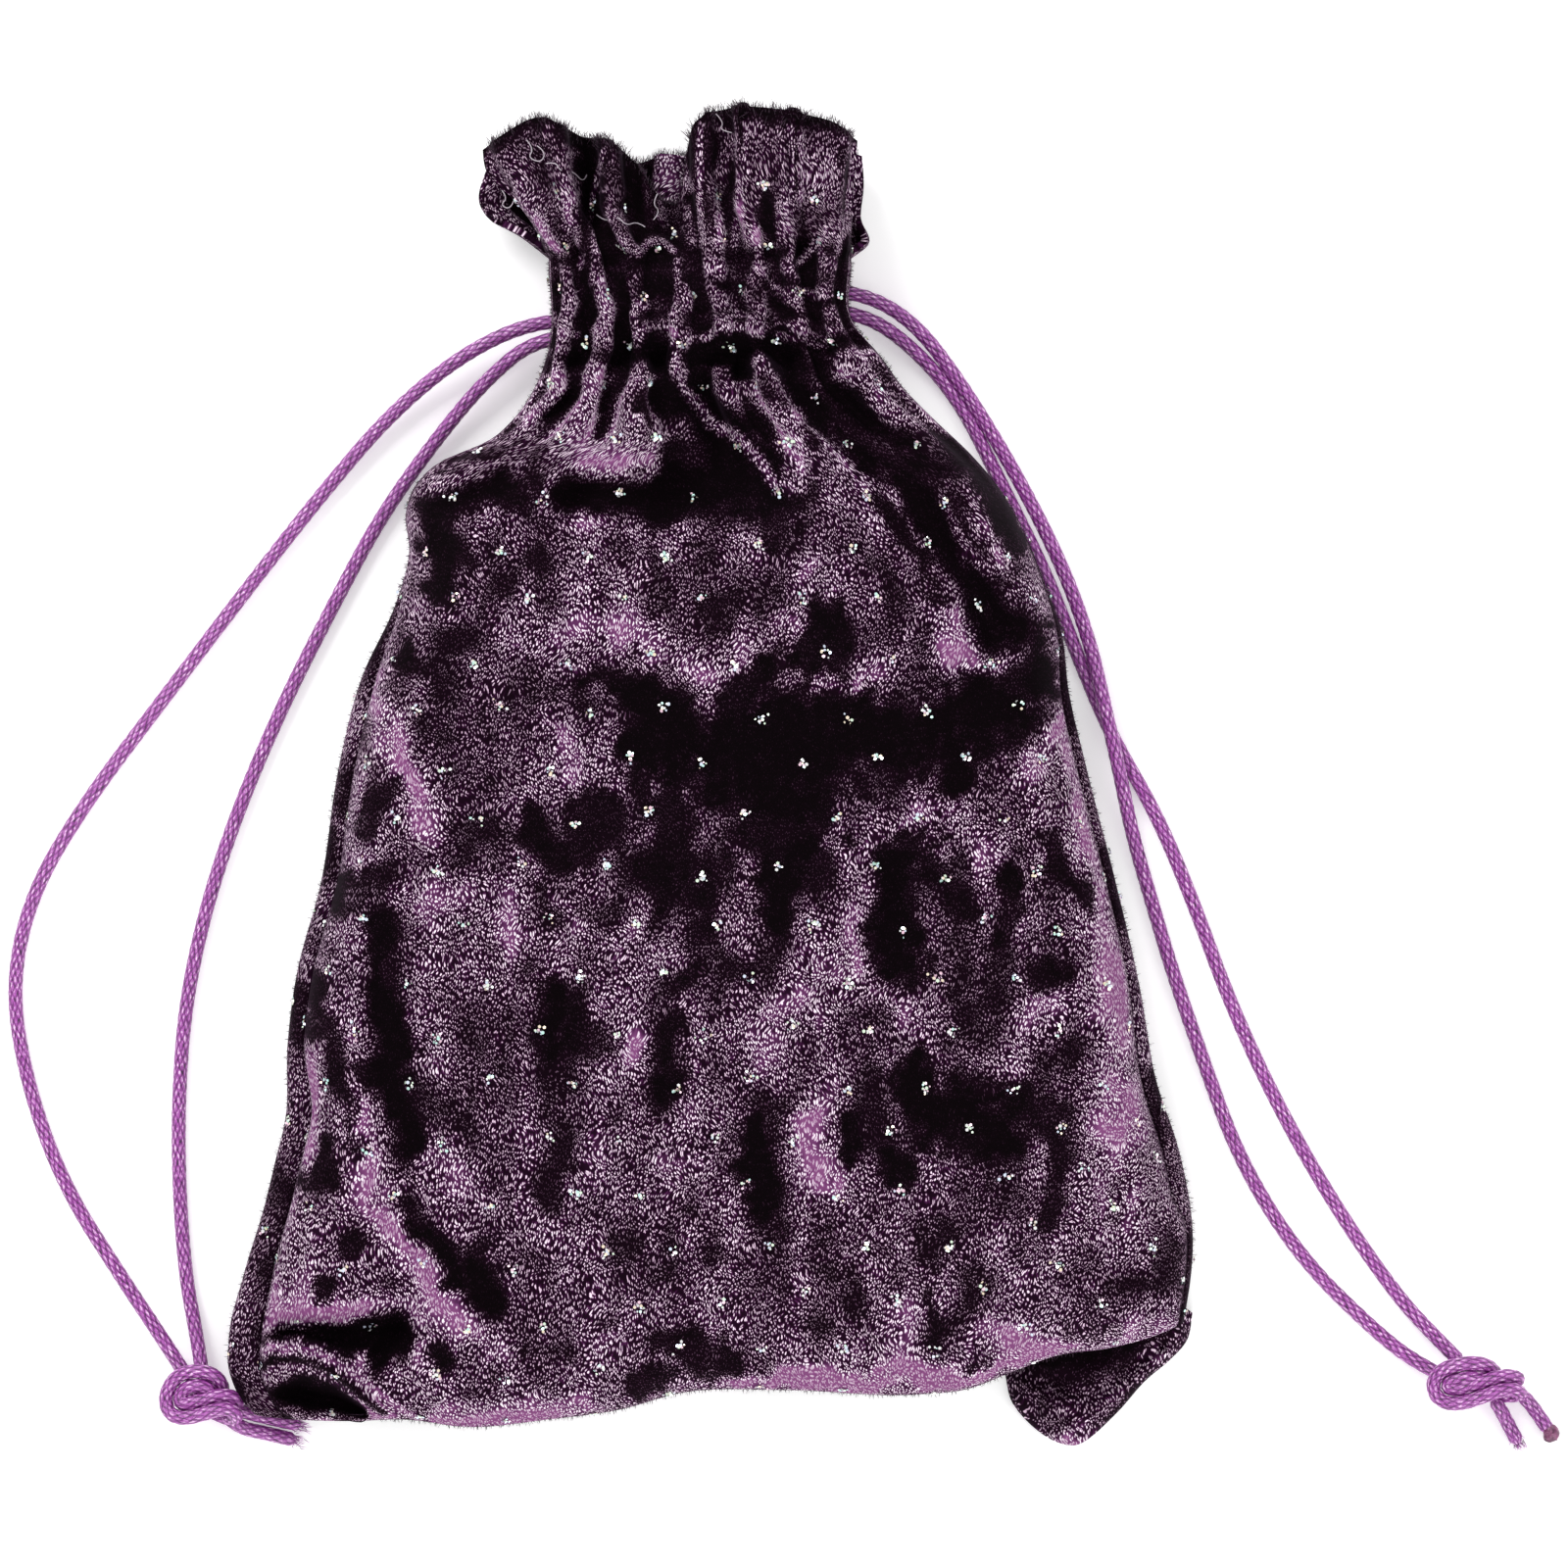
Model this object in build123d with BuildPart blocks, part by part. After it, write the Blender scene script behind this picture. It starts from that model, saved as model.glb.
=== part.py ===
from build123d import *
import os
from math import radians, tan

# A small drawstring pouch, lying flat on its back panel with the mouth gathered shut.
# X runs across the pouch, Y from the bottom fold to the mouth, Z up from the table.
# The origin is under the middle of the pouch, on the table.

# ---- driving dimensions, millimetres ----
CLOTH = 1.2              # velvet with its pile
BAG_HEIGHT = 20.0        # how thick the lightly filled pouch lies
SEAM_Z = 8.0             # height of the side seams, where the two panels meet
BACK_ROLL = 5.0          # how round the pouch is where it meets the table
FRONT_ROLL = 6.0         # how round its upper edge is
HINGE_Y = 38.0           # line that the mouth lifts about
SEAM_GAP = 0.3           # air between the lifting front and the back
ALLOWANCE = 5.0          # seam allowance turned inside
ALLOWANCE_THICK = 1.0
ALLOWANCE_FROM_Y = -71.0 # the turned edges stop short of the bottom fold and of the neck
ALLOWANCE_TO_Y = 35.0
ALLOWANCE_REACH_X = (30.0, 70.0)

NECK_LEFT = -21.3        # the gathered neck, narrower than the pouch
NECK_RIGHT = 18.4
CASING_LOW = 57.6        # the sewn channel that the cords run in
CASING_HIGH = 70.6
CASING_BORDER = 1.2      # cloth between a stitch row and the channel
HEM = 1.0                # inner layer of the channel
CHANNEL = 2.4            # height of the space for the cords
CASING_OUTER = 3.6       # outer layer, with its pleats
PLEATS = 7
PLEAT_RISE = 1.0
RUFFLE_TOP = 90.7
RUFFLE_THICK = 1.5
RUFFLE_WAVES = 10        # half waves across the ruffle
RUFFLE_LEFT = -31.0
RUFFLE_WIDTH = 52.0
RUFFLE_SWING = 2.6       # how far each half wave stands out
RUFFLE_DEPTH = 3.5       # middle of the ruffle, in from the pouch's outer face

CORD = 2.0               # round satin cord
CORD_CLEARANCE = 0.05    # air under the cord where it lies on the table
LEFT_CORD_Y = 61.8       # where the two cords lie side by side in the front channel
RIGHT_CORD_Y = 66.4
LEFT_BACK_CORD_Y = 60.2
LEFT_BACK_CORD_FROM_X = -3.5
RIGHT_BACK_CORD_TO_X = 0.5
RUN_END_GAP = 1.0        # the hidden runs stop short of the neck's sides
CORD_BEND = 0.45         # share of a run that each bend of a cord may use
KNOT_LENGTH = 10.5
KNOT_RADIUS = 3.7
KNOT_END_RADIUS = 2.3
KNOT_WAIST = 0.5         # how far the knot draws in between its three turns
KNOT_LIFT = 0.1          # air under the knot
FIRST_TURN, SECOND_TURN, THIRD_TURN = 0.45, 1.5, 2.55
TAIL_BLOB = 1.35         # melted end of the longest tail

STITCH = 0.5             # thread diameter
STITCH_LENGTH = 1.9
STITCH_PITCH = 3.0
SIDE_STITCH_LENGTH = 3.6
SIDE_STITCH_PITCH = 6.0

NECK_WIDTH = NECK_RIGHT - NECK_LEFT
BACK_HEM_Z = CASING_OUTER + CHANNEL
FRONT_HEM_Z = BAG_HEIGHT - BACK_HEM_Z - HEM
BACK_CORD_Z = CASING_OUTER + CHANNEL / 2
FRONT_CORD_Z = BAG_HEIGHT - BACK_CORD_Z

# The pouch from the left of the neck, round the bottom, to the right of the neck,
# with the radius of each corner between the two ends.
BAG_CORNERS = [
    (-16.5, 64.0), (-26.8, 47.6), (-40.9, 41.4), (-52.6, -14.0), (-68.2, -87.4),
    (0.0, -87.0), (38.0, -82.0), (66.0, -75.4), (54.4, -14.0), (41.0, 37.0),
    (25.5, 53.0), (16.5, 64.0),
]
BAG_RADII = [9.0, 7.5, 60.0, 14.0, 60.0, 30.0, 8.0, 60.0, 20.0, 12.0]

# The bottom right corner of the cloth, pushed out flat below the front panel.
EAR_CORNERS = [
    (36.0, -81.0), (43.0, -87.4), (49.5, -91.0), (57.5, -85.6), (64.6, -76.4), (55.0, -77.0),
]
EAR_HEIGHT = 5.0
EAR_CORNER_RADIUS = 1.5

# The side stitching follows the middle of each seam allowance, with one bend.
LEFT_STITCH_ROUTE = [(-60.0, -68.0), (-49.6, -14.0), (-38.7, 32.0)]
RIGHT_STITCH_ROUTE = [(60.5, -68.0), (50.9, -14.0), (39.2, 32.0)]

# The top edge of the ruffle has two lobes with a dip between them.
RUFFLE_CORNERS = [
    (NECK_LEFT, CASING_HIGH), (-30.4, 82.0), (-29.5, 86.0), (-20.0, 88.8), (-8.5, 81.0),
    (-3.5, 88.6), (5.0, RUFFLE_TOP), (20.4, 86.0), (20.6, 78.0), (NECK_RIGHT, CASING_HIGH),
]

# The four free cords, each from inside the neck to its knot.
LEFT_OUTER_ROUTE = [
    (-4.5, 62.6, 4.8), (-13.5, 62.4, 4.8), (-24.0, 62.2, 4.8), (-33.6, 57.8, 3.4),
    (-43.4, 49.8, 2.0), (-53.0, 38.6, 1.3), (-63.5, 25.2, 1.05), (-74.3, 11.0, 1.05),
    (-84.6, -2.6, 1.05), (-92.2, -15.2, 1.05), (-95.0, -28.0, 1.05), (-92.8, -41.5, 1.05),
    (-87.8, -55.2, 1.05), (-80.2, -67.2, 1.05), (-74.8, -75.2, 1.8), (-71.2, -80.6, 3.2),
]
LEFT_INNER_ROUTE = [
    (-4.5, 60.1, 4.8), (-13.0, 60.2, 4.8), (-23.4, 60.0, 4.8), (-30.4, 54.4, 3.4),
    (-37.6, 45.8, 1.8), (-44.9, 35.6, 1.1), (-51.2, 23.8, 1.05), (-57.8, 10.8, 1.05),
    (-63.6, -2.6, 1.05), (-68.2, -16.0, 1.05), (-71.3, -30.0, 1.05), (-72.3, -44.0, 1.05),
    (-72.1, -57.0, 1.05), (-71.2, -68.0, 1.05), (-69.8, -75.0, 1.8), (-68.8, -81.0, 3.4),
]
RIGHT_UPPER_ROUTE = [
    (1.5, 66.4, 4.8), (10.0, 66.5, 4.8), (20.4, 66.2, 4.8), (27.6, 61.8, 5.2),
    (33.2, 53.6, 5.8), (40.6, 41.8, 6.1), (47.2, 29.0, 6.1), (52.0, 15.8, 6.1),
    (55.2, 2.4, 6.1), (58.4, -10.8, 4.8), (62.4, -24.2, 2.4), (66.4, -37.0, 1.05),
    (71.8, -51.6, 1.05), (80.0, -64.8, 1.05), (90.4, -75.0, 1.05), (96.2, -79.4, 2.0),
    (101.4, -81.8, 3.4),
]
RIGHT_LOWER_ROUTE = [
    (1.5, 63.8, 4.8), (10.0, 63.9, 4.8), (20.6, 63.4, 4.8), (27.4, 58.8, 3.0),
    (33.8, 51.6, 1.4), (39.2, 40.8, 1.05), (45.4, 28.4, 1.05), (49.9, 16.8, 1.05),
    (54.4, 6.0, 1.05), (60.6, -4.6, 1.05), (65.6, -16.6, 1.05), (70.6, -30.4, 1.05),
    (77.4, -45.0, 1.05), (85.4, -58.8, 1.05), (93.2, -70.0, 1.05), (98.0, -75.2, 2.0),
    (101.8, -79.0, 3.4),
]
LEFT_KNOT_FROM = (-72.2, -79.0)
LEFT_KNOT_TO = (-66.2, -87.6)
RIGHT_KNOT_FROM = (99.2, -79.2)
RIGHT_KNOT_TO = (109.0, -83.4)

# Each tail leaves its knot and ends loose on the table.
LEFT_UPPER_TAIL = [(-67.4, -84.0, 3.2), (-64.6, -85.4, 2.0), (-60.2, -86.6, 1.05), (-55.6, -87.6, 1.05)]
LEFT_LOWER_TAIL = [(-67.4, -87.2, 3.0), (-64.2, -88.6, 1.8), (-60.2, -89.4, 1.05), (-56.0, -90.6, 1.05)]
RIGHT_INNER_TAIL = [(106.2, -83.8, 3.2), (107.6, -86.0, 1.9), (108.6, -88.0, 1.05), (109.8, -90.2, 1.05)]
RIGHT_OUTER_TAIL = [(107.6, -81.2, 3.4), (110.2, -83.4, 2.0), (112.2, -85.8, 1.1), (114.0, -88.6, 1.1)]

os.makedirs("parts", exist_ok=True)


def finish_piece(builder, name):
    """Label one finished piece and write it."""
    builder.part.label = name
    export_step(builder.part, f"parts/{name}.step")


def draw_bag_outline():
    """The face of the pouch seen from above, in the sketch that is open."""
    with BuildLine() as outline:
        sides = FilletPolyline(*BAG_CORNERS, radius=BAG_RADII)
        Line(sides @ 1, sides @ 0)
    make_face(outline.edges())


def box_from(corner_low, corner_high, mode=Mode.ADD):
    """A box between two opposite corners, in the part that is open."""
    size = [high - low for low, high in zip(corner_low, corner_high)]
    middle = [(high + low) / 2 for low, high in zip(corner_low, corner_high)]
    with Locations(Vector(*middle)):
        Box(*size, mode=mode)


def corner_radii(route):
    """The radius of each bend of a cord, as large as its two runs allow."""
    points = [Vector(*point) for point in route]
    radii = []
    for before, corner, after in zip(points, points[1:], points[2:]):
        run_in = corner - before
        run_out = after - corner
        turn = radians(run_in.get_angle(run_out))
        radii.append(CORD_BEND * min(run_in.length, run_out.length) / tan(turn / 2))
    return radii


def lay_cord(route, name):
    """A round cord along straight runs joined by tangent arcs."""
    radii = corner_radii(route)
    with BuildLine() as path:
        FilletPolyline(*route, radius=radii)
    with BuildSketch(Plane(path.line @ 0, z_dir=path.line % 0)) as section:
        Circle(CORD / 2)
    centreline = path.wire()
    sweep(section.sketch, path=centreline)
    print(name, "length", round(centreline.length, 1), "radii", [round(radius) for radius in radii])


def tie_knot(start, end):
    """A lumpy barrel from one end of the knot to the other, lying on the table."""
    direction = Vector(end[0] - start[0], end[1] - start[1], 0).normalized()
    origin = Vector(start[0], start[1], KNOT_RADIUS + KNOT_LIFT)
    across = direction.cross(Vector(0, 0, 1))
    third = KNOT_LENGTH / 3
    waist = KNOT_RADIUS - KNOT_WAIST
    with BuildSketch(Plane(origin, x_dir=direction, z_dir=across)) as half_profile:
        with BuildLine():
            Line((0, 0), (0, KNOT_END_RADIUS))
            ThreePointArc((0, KNOT_END_RADIUS), (third * FIRST_TURN, KNOT_RADIUS), (third, waist))
            ThreePointArc((third, waist), (third * SECOND_TURN, KNOT_RADIUS), (third * 2, waist))
            ThreePointArc(
                (third * 2, waist), (third * THIRD_TURN, KNOT_RADIUS), (KNOT_LENGTH, KNOT_END_RADIUS)
            )
            Line((KNOT_LENGTH, KNOT_END_RADIUS), (KNOT_LENGTH, 0))
            Line((KNOT_LENGTH, 0), (0, 0))
        make_face()
    revolve(half_profile.sketch, axis=Axis(origin, direction))


def stitch_row(low_x, high_x, y, z):
    """Short stitches in a row across the neck."""
    count = int((high_x - low_x) / STITCH_PITCH)
    with BuildSketch(Plane.YZ) as thread:
        Circle(STITCH / 2)
    stitch = extrude(thread.sketch, amount=STITCH_LENGTH / 2, both=True, mode=Mode.PRIVATE)
    with Locations(((low_x + high_x) / 2, y, z)):
        with GridLocations(STITCH_PITCH, 0, count, 1):
            add(stitch)


# ---- the pouch: back panel, front panel and what is sewn inside ----

with BuildPart() as back_panel:
    with BuildSketch():
        draw_bag_outline()
    extrude(amount=SEAM_Z)
    table_edges = back_panel.faces().sort_by(Axis.Z)[0].edges().sort_by(Axis.Y)[:-1]
    fillet(table_edges, BACK_ROLL)
    open_top = back_panel.faces().sort_by(Axis.Z)[-1]
    open_neck = back_panel.faces().sort_by(Axis.Y)[-1]
    offset(amount=-CLOTH, openings=[open_top, open_neck])
    split(bisect_by=Plane.XZ.offset(-CASING_LOW), keep=Keep.TOP)
    with BuildSketch():
        with BuildLine():
            Polyline(*EAR_CORNERS, close=True)
        make_face()
        fillet(vertices().sort_by(Axis.Y)[:4], EAR_CORNER_RADIUS)
    extrude(amount=EAR_HEIGHT)
finish_piece(back_panel, "back_panel")

with BuildPart() as front_shell:
    with BuildSketch(Plane.XY.offset(SEAM_Z)):
        draw_bag_outline()
    extrude(amount=BAG_HEIGHT - SEAM_Z)
    upper_edges = front_shell.faces().sort_by(Axis.Z)[-1].edges().sort_by(Axis.Y)[:-1]
    fillet(upper_edges, FRONT_ROLL)
    open_underside = front_shell.faces().sort_by(Axis.Z)[0]
    open_neck = front_shell.faces().sort_by(Axis.Y)[-1]
    offset(amount=-CLOTH, openings=[open_underside, open_neck])

with BuildPart() as front_panel:
    add(front_shell.part)
    split(bisect_by=Plane.XZ.offset(-HINGE_Y), keep=Keep.TOP)
finish_piece(front_panel, "front_panel")

# The front of the shoulder, which lifts with the mouth.
with BuildPart() as front_yoke:
    add(front_shell.part)
    split(bisect_by=Plane.XZ.offset(-HINGE_Y - SEAM_GAP), keep=Keep.BOTTOM)
    split(bisect_by=Plane.XZ.offset(-CASING_LOW), keep=Keep.TOP)
    split(bisect_by=Plane.XY.offset(SEAM_Z + SEAM_GAP), keep=Keep.TOP)
finish_piece(front_yoke, "front_yoke")


def seam_allowance(side):
    """The strip turned inside along one side seam, left (-1) or right (+1)."""
    with BuildSketch(Plane.XY.offset(SEAM_Z - ALLOWANCE_THICK / 2)) as strip:
        draw_bag_outline()
        offset(amount=-CLOTH, mode=Mode.REPLACE)
        offset(amount=-ALLOWANCE, mode=Mode.SUBTRACT)
        near_x, far_x = ALLOWANCE_REACH_X
        with Locations((side * (near_x + far_x) / 2, (ALLOWANCE_FROM_Y + ALLOWANCE_TO_Y) / 2)):
            Rectangle(far_x - near_x, ALLOWANCE_TO_Y - ALLOWANCE_FROM_Y, mode=Mode.INTERSECT)
    extrude(strip.sketch, amount=ALLOWANCE_THICK)


def side_stitches(side):
    """Stitches down the middle of one seam allowance."""
    route = RIGHT_STITCH_ROUTE if side > 0 else LEFT_STITCH_ROUTE
    low, knee, high = [Vector(x, y, SEAM_Z) for x, y in route]
    for start, end in ((low, knee), (knee, high)):
        run = end - start
        count = int(run.length / SIDE_STITCH_PITCH)
        for number in range(count):
            middle = start + run * ((number + 0.5) / count)
            plane = Plane(middle - run.normalized() * (SIDE_STITCH_LENGTH / 2), z_dir=run)
            with BuildSketch(plane) as thread:
                Circle(STITCH / 2)
            extrude(thread.sketch, amount=SIDE_STITCH_LENGTH)


with BuildPart() as left_seam_allowance:
    seam_allowance(-1)
finish_piece(left_seam_allowance, "left_seam_allowance")

with BuildPart() as right_seam_allowance:
    seam_allowance(1)
finish_piece(right_seam_allowance, "right_seam_allowance")

with BuildPart() as left_side_stitching:
    side_stitches(-1)
finish_piece(left_side_stitching, "left_side_stitching")

with BuildPart() as right_side_stitching:
    side_stitches(1)
finish_piece(right_side_stitching, "right_side_stitching")

# ---- the mouth: casing, hem, ruffle and stitch rows, once at the back and once in front ----


def casing(outward, hem_z):
    """The outer layer of the channel, pleated on its outer side.

    outward is +1 for the front, which faces up, and -1 for the back.
    """
    inner = hem_z if outward < 0 else hem_z + HEM
    flat = inner + outward * (CHANNEL + CASING_OUTER - PLEAT_RISE)
    roof = inner + outward * CHANNEL
    box_from(
        (NECK_LEFT, CASING_LOW, min(inner, flat)),
        (NECK_RIGHT, CASING_HIGH, max(inner, flat)),
    )
    box_from(
        (NECK_LEFT, CASING_LOW + CASING_BORDER, min(inner, roof)),
        (NECK_RIGHT, CASING_HIGH - CASING_BORDER, max(inner, roof)),
        mode=Mode.SUBTRACT,
    )
    pleat = NECK_WIDTH / PLEATS
    with BuildSketch(Plane.XZ.offset(-CASING_LOW - CASING_BORDER)) as pleats:
        with BuildLine():
            for number in range(PLEATS):
                left = NECK_LEFT + number * pleat
                crest = (left + pleat / 2, flat + outward * PLEAT_RISE)
                ThreePointArc((left, flat), crest, (left + pleat, flat))
            Line((NECK_RIGHT, flat), (NECK_RIGHT, flat - outward))
            Line((NECK_RIGHT, flat - outward), (NECK_LEFT, flat - outward))
            Line((NECK_LEFT, flat - outward), (NECK_LEFT, flat))
        make_face()
    extrude(pleats.sketch, amount=-(CASING_HIGH - CASING_LOW - 2 * CASING_BORDER))


def ruffle(outward, middle_z):
    """The wavy cloth above the channel, cut to its two lobes."""
    half_wave = RUFFLE_WIDTH / RUFFLE_WAVES
    right = RUFFLE_LEFT + RUFFLE_WIDTH
    low = middle_z - RUFFLE_THICK / 2
    high = middle_z + RUFFLE_THICK / 2
    with BuildSketch(Plane.XZ.offset(-CASING_HIGH)) as wave:
        with BuildLine():
            for number in range(RUFFLE_WAVES):
                side = outward if number % 2 else -outward
                start = RUFFLE_LEFT + number * half_wave
                middle = start + half_wave / 2
                end = start + half_wave
                ThreePointArc((start, low), (middle, low + side * RUFFLE_SWING), (end, low))
                ThreePointArc((start, high), (middle, high + side * RUFFLE_SWING), (end, high))
            Line((RUFFLE_LEFT, low), (RUFFLE_LEFT, high))
            Line((right, low), (right, high))
        make_face()
    extrude(wave.sketch, amount=-(RUFFLE_TOP - CASING_HIGH))
    with BuildSketch() as lobes:
        with BuildLine():
            Polyline(*RUFFLE_CORNERS, close=True)
        make_face()
    extrude(lobes.sketch, amount=BAG_HEIGHT, mode=Mode.INTERSECT)


with BuildPart() as back_casing:
    casing(-1, BACK_HEM_Z)
finish_piece(back_casing, "back_casing")

with BuildPart() as front_casing:
    casing(1, FRONT_HEM_Z)
finish_piece(front_casing, "front_casing")

with BuildPart() as back_hem:
    box_from((NECK_LEFT, CASING_LOW, BACK_HEM_Z), (NECK_RIGHT, CASING_HIGH, BACK_HEM_Z + HEM))
finish_piece(back_hem, "back_hem")

# The front hem also turns down at each side, which closes the sides of the neck.
with BuildPart() as front_hem:
    box_from((NECK_LEFT, CASING_LOW, FRONT_HEM_Z), (NECK_RIGHT, CASING_HIGH, FRONT_HEM_Z + HEM))
    for edge_low in (NECK_LEFT, NECK_RIGHT - HEM):
        box_from((edge_low, CASING_LOW, SEAM_Z + SEAM_GAP), (edge_low + HEM, CASING_HIGH, FRONT_HEM_Z))
finish_piece(front_hem, "front_hem")

with BuildPart() as back_ruffle:
    ruffle(-1, RUFFLE_DEPTH)
finish_piece(back_ruffle, "back_ruffle")

with BuildPart() as front_ruffle:
    ruffle(1, BAG_HEIGHT - RUFFLE_DEPTH)
finish_piece(front_ruffle, "front_ruffle")

LOWER_ROW_Y = CASING_LOW + CASING_BORDER / 2
UPPER_ROW_Y = CASING_HIGH - CASING_BORDER / 2
BACK_STITCH_Z = BACK_HEM_Z - CHANNEL - CASING_OUTER + PLEAT_RISE
FRONT_STITCH_Z = BAG_HEIGHT - PLEAT_RISE

with BuildPart() as back_lower_stitching:
    stitch_row(NECK_LEFT, NECK_RIGHT, LOWER_ROW_Y, BACK_STITCH_Z)
finish_piece(back_lower_stitching, "back_lower_stitching")

with BuildPart() as back_upper_stitching:
    stitch_row(NECK_LEFT, NECK_RIGHT, UPPER_ROW_Y, BACK_STITCH_Z)
finish_piece(back_upper_stitching, "back_upper_stitching")

with BuildPart() as front_lower_stitching:
    stitch_row(NECK_LEFT, NECK_RIGHT, LOWER_ROW_Y, FRONT_STITCH_Z)
finish_piece(front_lower_stitching, "front_lower_stitching")

with BuildPart() as front_upper_stitching:
    stitch_row(NECK_LEFT, NECK_RIGHT, UPPER_ROW_Y, FRONT_STITCH_Z)
finish_piece(front_upper_stitching, "front_upper_stitching")

# ---- the two cords inside the channel ----


def hidden_run(start_x, end_x, y, z):
    """A straight stretch of cord inside the channel."""
    with BuildSketch(Plane.YZ.offset(start_x)) as section:
        with Locations((y, z)):
            Circle(CORD / 2)
    extrude(section.sketch, amount=end_x - start_x)


with BuildPart() as left_cord_back_run:
    hidden_run(LEFT_BACK_CORD_FROM_X, NECK_RIGHT - RUN_END_GAP, LEFT_BACK_CORD_Y, BACK_CORD_Z)
finish_piece(left_cord_back_run, "left_cord_back_run")

with BuildPart() as right_cord_back_run:
    hidden_run(NECK_LEFT + RUN_END_GAP, RIGHT_BACK_CORD_TO_X, RIGHT_CORD_Y, BACK_CORD_Z)
finish_piece(right_cord_back_run, "right_cord_back_run")

with BuildPart() as left_cord_front_run:
    hidden_run(NECK_LEFT + RUN_END_GAP, NECK_RIGHT - RUN_END_GAP, LEFT_CORD_Y, FRONT_CORD_Z)
finish_piece(left_cord_front_run, "left_cord_front_run")

with BuildPart() as right_cord_front_run:
    hidden_run(NECK_LEFT + RUN_END_GAP, NECK_RIGHT - RUN_END_GAP, RIGHT_CORD_Y, FRONT_CORD_Z)
finish_piece(right_cord_front_run, "right_cord_front_run")

# ---- the free cords, their knots and their tails ----

with BuildPart() as left_outer_strand:
    lay_cord(LEFT_OUTER_ROUTE, "left_outer_strand")
finish_piece(left_outer_strand, "left_outer_strand")

with BuildPart() as left_inner_strand:
    lay_cord(LEFT_INNER_ROUTE, "left_inner_strand")
finish_piece(left_inner_strand, "left_inner_strand")

with BuildPart() as left_knot:
    tie_knot(LEFT_KNOT_FROM, LEFT_KNOT_TO)
finish_piece(left_knot, "left_knot")

with BuildPart() as left_upper_tail:
    lay_cord(LEFT_UPPER_TAIL, "left_upper_tail")
finish_piece(left_upper_tail, "left_upper_tail")

with BuildPart() as left_lower_tail:
    lay_cord(LEFT_LOWER_TAIL, "left_lower_tail")
finish_piece(left_lower_tail, "left_lower_tail")

with BuildPart() as right_upper_strand:
    lay_cord(RIGHT_UPPER_ROUTE, "right_upper_strand")
finish_piece(right_upper_strand, "right_upper_strand")

with BuildPart() as right_lower_strand:
    lay_cord(RIGHT_LOWER_ROUTE, "right_lower_strand")
finish_piece(right_lower_strand, "right_lower_strand")

with BuildPart() as right_knot:
    tie_knot(RIGHT_KNOT_FROM, RIGHT_KNOT_TO)
finish_piece(right_knot, "right_knot")

with BuildPart() as right_inner_tail:
    lay_cord(RIGHT_INNER_TAIL, "right_inner_tail")
finish_piece(right_inner_tail, "right_inner_tail")

# This tail's end was melted into a small blob.
with BuildPart() as right_outer_tail:
    lay_cord(RIGHT_OUTER_TAIL, "right_outer_tail")
    end_x, end_y, _ = RIGHT_OUTER_TAIL[-1]
    with Locations((end_x, end_y, TAIL_BLOB + CORD_CLEARANCE)):
        Sphere(TAIL_BLOB)
finish_piece(right_outer_tail, "right_outer_tail")
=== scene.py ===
import math
import bpy
import numpy as np
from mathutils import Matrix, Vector


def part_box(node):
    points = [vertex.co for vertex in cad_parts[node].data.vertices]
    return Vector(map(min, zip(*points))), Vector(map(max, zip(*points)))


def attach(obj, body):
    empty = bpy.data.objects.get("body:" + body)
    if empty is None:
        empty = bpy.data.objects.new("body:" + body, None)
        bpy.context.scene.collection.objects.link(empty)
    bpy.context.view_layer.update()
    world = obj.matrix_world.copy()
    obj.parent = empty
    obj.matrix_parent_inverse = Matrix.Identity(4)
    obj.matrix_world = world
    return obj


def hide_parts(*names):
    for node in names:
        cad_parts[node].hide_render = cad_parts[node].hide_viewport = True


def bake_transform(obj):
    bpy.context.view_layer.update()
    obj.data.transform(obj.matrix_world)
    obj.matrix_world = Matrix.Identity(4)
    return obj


# A drawstring pouch of crushed velvet with glitter dots, lying on its back with the mouth gathered.
# Shapes are worked out in millimetres in the part's own frame and written to meshes in metres.

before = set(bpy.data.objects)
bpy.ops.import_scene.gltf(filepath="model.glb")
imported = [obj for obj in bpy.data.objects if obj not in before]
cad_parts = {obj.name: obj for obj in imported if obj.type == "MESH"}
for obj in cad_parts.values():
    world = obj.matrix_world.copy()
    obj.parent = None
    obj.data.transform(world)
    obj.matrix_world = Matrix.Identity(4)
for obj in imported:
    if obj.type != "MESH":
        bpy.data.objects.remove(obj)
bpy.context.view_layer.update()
MM = 0.001
TAU = 2 * math.pi
TABLE_GAP = 0.03          # nothing lies lower than this over the table, millimetres

# ---- camera: straight down, long lens ----

VIEW_WIDTH = 0.2131       # metres across the picture, at the table
VIEW_CENTRE = (0.00999, -0.00053)
VIEW_HEIGHT = 1.6         # metres over the table
SENSOR = 36.0


def make_camera():
    data = bpy.data.cameras.new("camera")
    data.sensor_width = SENSOR
    data.lens = SENSOR * VIEW_HEIGHT / VIEW_WIDTH
    data.clip_start = 0.05
    data.clip_end = 20.0
    camera = bpy.data.objects.new("camera", data)
    camera.location = (VIEW_CENTRE[0], VIEW_CENTRE[1], VIEW_HEIGHT)
    bpy.context.scene.collection.objects.link(camera)
    bpy.context.scene.camera = camera


make_camera()

# ---- the four free cords, in metres, each from inside the neck to its knot ----

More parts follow.
